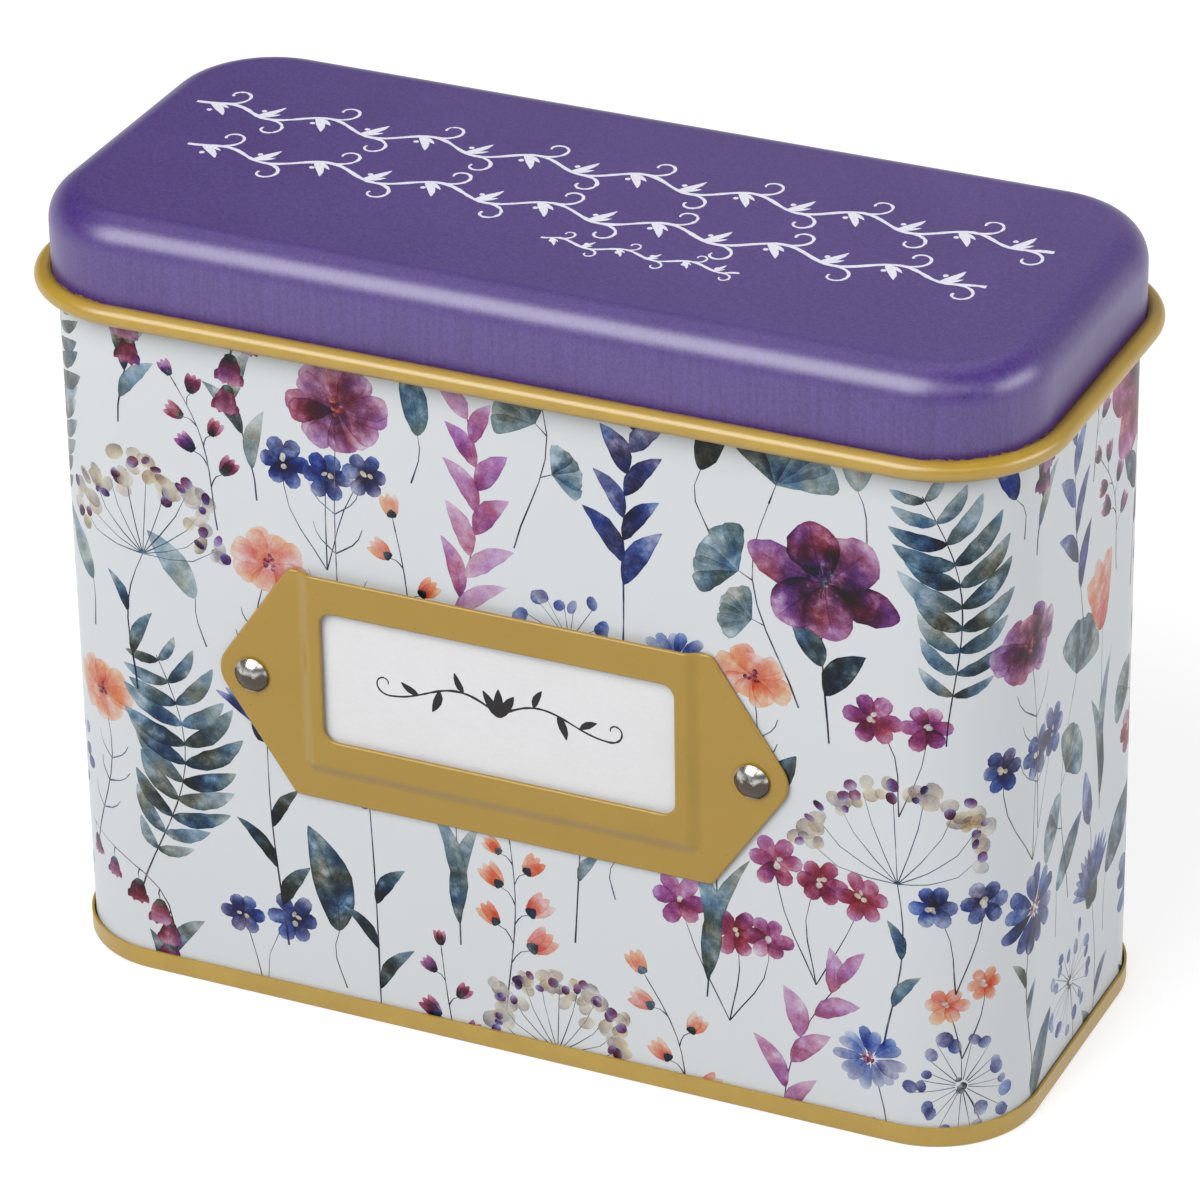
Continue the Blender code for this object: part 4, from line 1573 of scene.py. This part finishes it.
class Finish:
    """A Principled material, and short ways to add the nodes behind its sockets."""

    def __init__(self, name, colour, roughness, metallic=0.0, specular=0.5):
        self.material = bpy.data.materials.new(name)
        self.material.use_nodes = True
        self.nodes = self.material.node_tree.nodes
        self.links = self.material.node_tree.links
        self.shader = self.nodes["Principled BSDF"]
        self.set("Base Color", (*colour, 1.0))
        self.set("Roughness", roughness)
        self.set("Metallic", metallic)
        self.set("Specular IOR Level", specular)
        self.place = self.nodes.new("ShaderNodeTexCoord").outputs["Object"]
        self.material.diffuse_color = (*colour, 1.0)

    def put(self, node, socket, value):
        target = node.inputs[socket]
        if isinstance(value, bpy.types.NodeSocket):
            self.links.new(value, target)
        elif getattr(target, "type", "") == "RGBA" and len(value) == 3:
            target.default_value = (*value, 1.0)
        else:
            target.default_value = value

    def set(self, socket, value):
        self.put(self.shader, socket, value)

    def node(self, kind, sockets, **settings):
        made = self.nodes.new("ShaderNode" + kind)
        for key, value in settings.items():
            setattr(made, key, value)
        for socket, value in sockets.items():
            self.put(made, socket, value)
        return made

    def noise(self, scale, detail=2.0, roughness=0.5, place=None):
        values = {"Vector": place or self.place, "Scale": scale, "Detail": detail, "Roughness": roughness}
        return self.node("TexNoise", values).outputs["Fac"]

    def stretched(self, x, y, z):
        return self.node("Mapping", {"Vector": self.place, "Scale": (x, y, z)}).outputs[0]

    def math(self, operation, *values):
        return self.node("Math", dict(enumerate(values)), operation=operation).outputs[0]

    def times(self, first, second):
        return self.math("MULTIPLY", first, second)

    def plus(self, first, second):
        return self.math("ADD", first, second)

    def spanned(self, value, low, high, new_low, new_high, smooth=False):
        sockets = {"Value": value, "From Min": low, "From Max": high, "To Min": new_low, "To Max": new_high}
        kind = "SMOOTHSTEP" if smooth else "LINEAR"
        return self.node("MapRange", sockets, interpolation_type=kind).outputs[0]

    def swing(self, noise, low, high):
        """Stretch a noise, which mostly stays near its middle, over a new range."""
        return self.spanned(noise, noise_low, noise_high, low, high)

    def mix(self, share, first, second, blend="MIX"):
        made = self.node("Mix", {}, data_type="RGBA", blend_type=blend)
        self.put(made, 0, share)
        self.put(made, 6, first)
        self.put(made, 7, second)
        return made.outputs[2]

    def bump(self, height, strength, distance, below=None):
        sockets = {"Height": height, "Strength": strength, "Distance": distance}
        if below is not None:
            sockets["Normal"] = below
        return self.node("Bump", sockets).outputs[0]

    def dressed(self, colour, roughness, normal):
        """The material, with nodes behind its colour, roughness and normal."""
        self.set("Base Color", colour)
        self.set("Roughness", roughness)
        self.set("Normal", normal)
        return self.material


def print_finish():
    """White coat and washes of paint, dark where the wet paint pooled, under a clear varnish."""
    finish = Finish("printed_tin", paper, 0.32, 0.0, 0.22)
    light = finish.node("Attribute", {}, attribute_name="print_light").outputs["Color"]
    marks = finish.node("Attribute", {}, attribute_name="print_place")
    parts = finish.node("SeparateColor", {"Color": marks.outputs["Color"]})
    share, across, vein = parts.outputs
    chance = marks.outputs["Alpha"]
    away = finish.math("ABSOLUTE", across)
    edge = finish.spanned(away, 0.82, 1.0, 0.0, 1.0, True)
    tip = finish.spanned(share, 0.92, 1.0, 0.0, 1.0, True)
    rim = finish.math("MAXIMUM", edge, tip)
    pools = finish.spanned(finish.noise(260, 3.0, 0.62), 0.32, 0.68, 0.38, 1.80)
    grains = finish.swing(finish.noise(4200, 2.0, 0.6), 0.82, 1.18)
    middle = finish.spanned(away, 0.0, 0.07, 1.0, 0.0, True)
    slant = finish.math("SUBTRACT", finish.times(share, 9.0), finish.times(away, 1.6))
    side_veins = finish.spanned(finish.math("PINGPONG", slant, 0.5), 0.0, 0.09, 1.0, 0.0, True)
    veins = finish.times(vein, finish.math("MAXIMUM", middle, finish.times(side_veins, 0.45)))
    depth = finish.plus(finish.times(pools, grains), finish.times(rim, 0.30))
    depth = finish.plus(depth, finish.times(veins, 0.34))
    depth = finish.times(depth, finish.spanned(chance, 0.0, 1.0, 0.64, 1.38))
    aside = finish.node("Mapping", {"Vector": finish.place, "Location": (0.4, 0.7, 0.2)}).outputs[0]
    drift = finish.noise(190, 2.0, 0.5, aside)
    split = finish.node("SeparateColor", {"Color": light})
    powered = []
    for channel, low, high in zip(split.outputs, (0.78, 0.95, 1.20), (1.22, 1.05, 0.80)):
        bend = finish.times(depth, finish.spanned(drift, 0.32, 0.68, low, high))
        powered.append(finish.math("POWER", channel, bend))
    joined = finish.node("CombineColor", dict(enumerate(powered))).outputs[0]
    coat = finish.mix(finish.noise(40, 2.0), (0.546, 0.571, 0.592), (0.556, 0.579, 0.600))
    colour = finish.mix(1.0, coat, joined, "MULTIPLY")
    roughness = finish.swing(finish.noise(900, 3.0), 0.29, 0.35)
    return finish.dressed(colour, roughness, finish.bump(finish.noise(1400, 2.0), 0.05, 0.00002))


gold_tone = (0.366, 0.223, 0.006)


def gold_finish(name):
    """Satin gold lacquer with fine dark specks."""
    finish = Finish(name, gold_tone, 0.34, 0.0, 0.98)
    cloud = finish.noise(160, 3.0)
    speckle = finish.noise(5200, 2.0)
    worn_share = finish.spanned(cloud, 0.35, 0.65, 0.0, 1.0)
    worn = finish.mix(worn_share, (0.350, 0.210, 0.005), (0.382, 0.237, 0.009))
    colour = finish.mix(finish.spanned(speckle, 0.45, 0.70, 0.0, 0.30), worn, (0.30, 0.18, 0.03))
    roughness = finish.swing(cloud, 0.31, 0.37)
    return finish.dressed(colour, roughness, finish.bump(speckle, 0.16, 0.00002))


def purple_finish():
    """Satin purple lacquer with a fine grain. It ends above the bead, in a line ragged at the corners."""
    finish = Finish("purple_lacquer", (0.048, 0.017, 0.158), 0.35, 0.0, 0.96)
    grain = finish.noise(2800, 2.0, 0.7)
    streaks = finish.noise(1, 3.0, 0.6, finish.stretched(1500, 1500, 60))
    cloud = finish.noise(45, 2.0)
    tone = finish.swing(grain, -0.8, 0.8)
    tone = finish.plus(tone, finish.swing(streaks, -0.45, 0.45))
    tone = finish.plus(tone, finish.swing(cloud, -0.2, 0.2))
    tone = finish.spanned(tone, -1.0, 1.0, 0.0, 1.0)
    purple = finish.mix(tone, (0.026, 0.003, 0.108), (0.070, 0.031, 0.208))
    x, y, height = finish.node("SeparateXYZ", {"Vector": finish.place}).outputs
    past_x = finish.math("SUBTRACT", finish.math("ABSOLUTE", x), inner_x)
    past_y = finish.math("SUBTRACT", finish.math("ABSOLUTE", y), inner_y)
    bent = finish.spanned(finish.math("MINIMUM", past_x, past_y), 0.0, 4 * mm, 0.04 * mm, 0.40 * mm, True)
    ragged = finish.times(finish.swing(finish.noise(900, 4.0, 0.8), -1.0, 1.0), bent)
    line = finish.spanned(finish.plus(height, ragged), purple_end_low, purple_end_high, 1.0, 0.0)
    colour = finish.mix(line, purple, gold_tone)
    roughness = finish.swing(grain, 0.33, 0.38)
    return finish.dressed(colour, roughness, finish.bump(grain, 0.42, 0.00004))


def silver_finish():
    finish = Finish("silver_ink", (0.66, 0.65, 0.72), 0.45)
    cover = finish.spanned(finish.noise(2600, 3.0, 0.7), 0.25, 0.55, 0.0, 1.0)
    colour = finish.mix(cover, (0.52, 0.50, 0.62), (0.70, 0.70, 0.76))
    roughness = finish.spanned(cover, 0.0, 1.0, 0.5, 0.4)
    return finish.dressed(colour, roughness, finish.bump(cover, 0.1, 0.00002))


def mustard_finish():
    """Glossy baked mustard paint with a slight flow and a few dark specks."""
    finish = Finish("mustard_paint", (0.340, 0.209, 0.026), 0.22)
    flow = finish.swing(finish.noise(120, 2.0), 0.0, 1.0)
    tone = finish.mix(flow, (0.317, 0.192, 0.022), (0.330, 0.202, 0.025))
    specks = finish.spanned(finish.noise(1900, 2.0, 0.4), 0.755, 0.775, 0.0, 0.7)
    colour = finish.mix(specks, tone, (0.17, 0.10, 0.03))
    roughness = finish.swing(finish.noise(500, 2.0), 0.20, 0.25)
    return finish.dressed(colour, roughness, finish.bump(finish.noise(600, 2.0), 0.10, 0.00003))


def nickel_finish():
    """Bright nickel with painted shade: its lower half is painted dark as a dark reflection, up to a ragged
    line. It is a little dented.
    """
    finish = Finish("nickel", (0.32, 0.30, 0.285), 0.18, 1.0)
    # Painted shade: the lower half of each head is painted dark as a painted dark reflection, below a ragged
    # line up to the bright top
    painted_shade_wobble = finish.swing(finish.noise(900, 3.0), -0.7 * mm, 0.7 * mm)
    height = finish.node("SeparateXYZ", {"Vector": finish.place}).outputs[2]
    ragged = finish.plus(height, painted_shade_wobble)
    painted_lit_share = finish.spanned(ragged, holder_z + 0.2 * mm, holder_z + 1.4 * mm, 0.0, 1.0, True)
    # Dark nickel for the painted shade below, bright nickel for the lit top above
    colour = finish.mix(painted_lit_share, (0.085, 0.070, 0.062), (0.52, 0.50, 0.47))
    roughness = finish.spanned(painted_lit_share, 0.0, 1.0, 0.16, 0.22)
    dents = finish.bump(finish.noise(420, 1.0), 0.35, 0.00016)
    return finish.dressed(colour, roughness, finish.bump(finish.noise(2500, 2.0), 0.08, 0.00002, dents))


def card_finish(name, colour):
    """Uncoated card: fibres, a faint cloudiness and a soft tooth."""
    finish = Finish(name, colour, 0.75, 0.0, 0.25)
    fibres = finish.noise(1, 4.0, 0.7, finish.stretched(900, 2400, 2400))
    cloud = finish.noise(120, 3.0)
    dark = tuple(0.96 * value for value in colour)
    light = tuple(min(1.0, 1.03 * value) for value in colour)
    share = finish.swing(cloud, 0.0, 0.4)
    share = finish.plus(finish.swing(fibres, 0.0, 0.6), share)
    roughness = finish.swing(fibres, 0.68, 0.82)
    return finish.dressed(finish.mix(share, dark, light), roughness, finish.bump(fibres, 0.15, 0.00004))


# Camera
eye_azimuth = math.radians(24.813)
eye_elevation = math.radians(28.647)
eye_roll = math.radians(-0.940)
eye_distance = 0.98239
eye_target = Vector((0.00012, 0.0, 0.06282))
eye_lens = 190.14


def make_camera():
    data = bpy.data.cameras.new("camera")
    data.lens = eye_lens
    data.sensor_width = 36.0
    data.clip_start = 0.05
    data.clip_end = 50.0
    camera = put_in_scene("camera", data)
    flat = math.cos(eye_elevation)
    back = Vector((math.sin(eye_azimuth) * flat, -math.cos(eye_azimuth) * flat, math.sin(eye_elevation)))
    level = Vector((math.cos(eye_azimuth), math.sin(eye_azimuth), 0))
    rise = back.cross(level)
    right = level * math.cos(eye_roll) + rise * math.sin(eye_roll)
    up = rise * math.cos(eye_roll) - level * math.sin(eye_roll)
    place = Matrix((right, up, back)).transposed().to_4x4()
    place.translation = eye_target + back * eye_distance
    camera.matrix_world = place
    bpy.context.scene.camera = camera


# Studio: lamps round the tin, a floor that glows where it is seen, and light low in the surround
floor_radius = 6.0
floor_glow = 0.60
horizon_low = 0.09
horizon_high = 0.19
horizon_light = 1.0
sky_light = 0.15


def softbox(name, place, size, power, aim=(0, 0, 0.07)):
    light = bpy.data.lights.new(name, "AREA")
    light.shape = "RECTANGLE"
    light.size = size[0]
    light.size_y = size[1]
    light.energy = power
    lamp = put_in_scene(name, light)
    lamp.location = place
    lamp.rotation_euler = (Vector(aim) - Vector(place)).to_track_quat("-Z", "Y").to_euler()


def make_studio():
    softbox("key_box", (-0.37, -0.88, 0.96), (1.04, 0.88), 18.2)
    softbox("right_box", (1.10, 0.13, 0.54), (0.85, 0.40), 6.2)
    softbox("corner_box", (0.64, -0.81, 0.94), (0.75, 0.50), 2.4)
    softbox("back_box", (0.30, 1.05, 0.78), (2.18, 0.85), 1.9)
    softbox("top_box", (-0.25, 0.35, 1.37), (1.3, 1.1), 3.8)

    world = bpy.data.worlds.new("studio")
    world.use_nodes = True
    bpy.context.scene.world = world
    nodes = world.node_tree.nodes
    links = world.node_tree.links
    surround = nodes["Background"]
    surround.inputs["Color"].default_value = (1, 1, 1, 1)
    toward = nodes.new("ShaderNodeTexCoord")
    parts = nodes.new("ShaderNodeSeparateXYZ")
    links.new(toward.outputs["Generated"], parts.inputs[0])
    strength = nodes.new("ShaderNodeMapRange")
    strength.interpolation_type = "SMOOTHSTEP"
    strength.inputs["From Min"].default_value = horizon_low
    strength.inputs["From Max"].default_value = horizon_high
    strength.inputs["To Min"].default_value = horizon_light
    strength.inputs["To Max"].default_value = sky_light
    links.new(parts.outputs["Z"], strength.inputs["Value"])
    links.new(strength.outputs[0], surround.inputs["Strength"])

    mesh = bpy.data.meshes.new("floor")
    work = bmesh.new()
    bmesh.ops.create_circle(work, cap_ends=True, segments=96, radius=floor_radius)
    work.to_mesh(mesh)
    work.free()
    floor = put_in_scene("floor", mesh)
    finish = Finish("studio_floor", (0.50, 0.50, 0.50), 0.9, 0.0, 0.0)
    finish.set("Base Color", finish.mix(finish.noise(3, 2.0), (0.495,) * 3, (0.505,) * 3))
    mesh.materials.append(finish.material)
    rays = finish.node("LightPath", {}).outputs
    seen = finish.math("MAXIMUM", rays["Is Camera Ray"], rays["Is Glossy Ray"])
    seen = finish.math("MAXIMUM", seen, rays["Is Transmission Ray"])
    finish.set("Emission Color", (1.0, 1.0, 1.0))
    finish.set("Emission Strength", finish.times(seen, floor_glow))


bpy.context.scene.view_settings.view_transform = "Standard"
gold = gold_finish("gold_lacquer")
white_card = card_finish("white_card", (0.645, 0.645, 0.656))
wall = make_wall([print_finish(), gold])
settle(wall, "body_wall", "body")
make_lid([purple_finish(), gold, silver_finish()])
make_base(gold)
make_holder(mustard_finish())
make_rivets(nickel_finish())
make_label([white_card, card_finish("pen_ink", (0.022, 0.020, 0.021))])
make_packs(white_card)
divider_slots = ["lilac_card", "blue_card", "coral_card", "plum_card", "sage_card", "mustard_card"]
divider_colours = [(0.42, 0.30, 0.52), (0.20, 0.28, 0.48), (0.75, 0.30, 0.17)]
divider_colours += [(0.22, 0.06, 0.12), (0.20, 0.32, 0.30), (0.55, 0.36, 0.09)]
divider_finishes = [card_finish(slot, colour) for slot, colour in zip(divider_slots, divider_colours)]
make_dividers(divider_finishes)
make_camera()
make_studio()
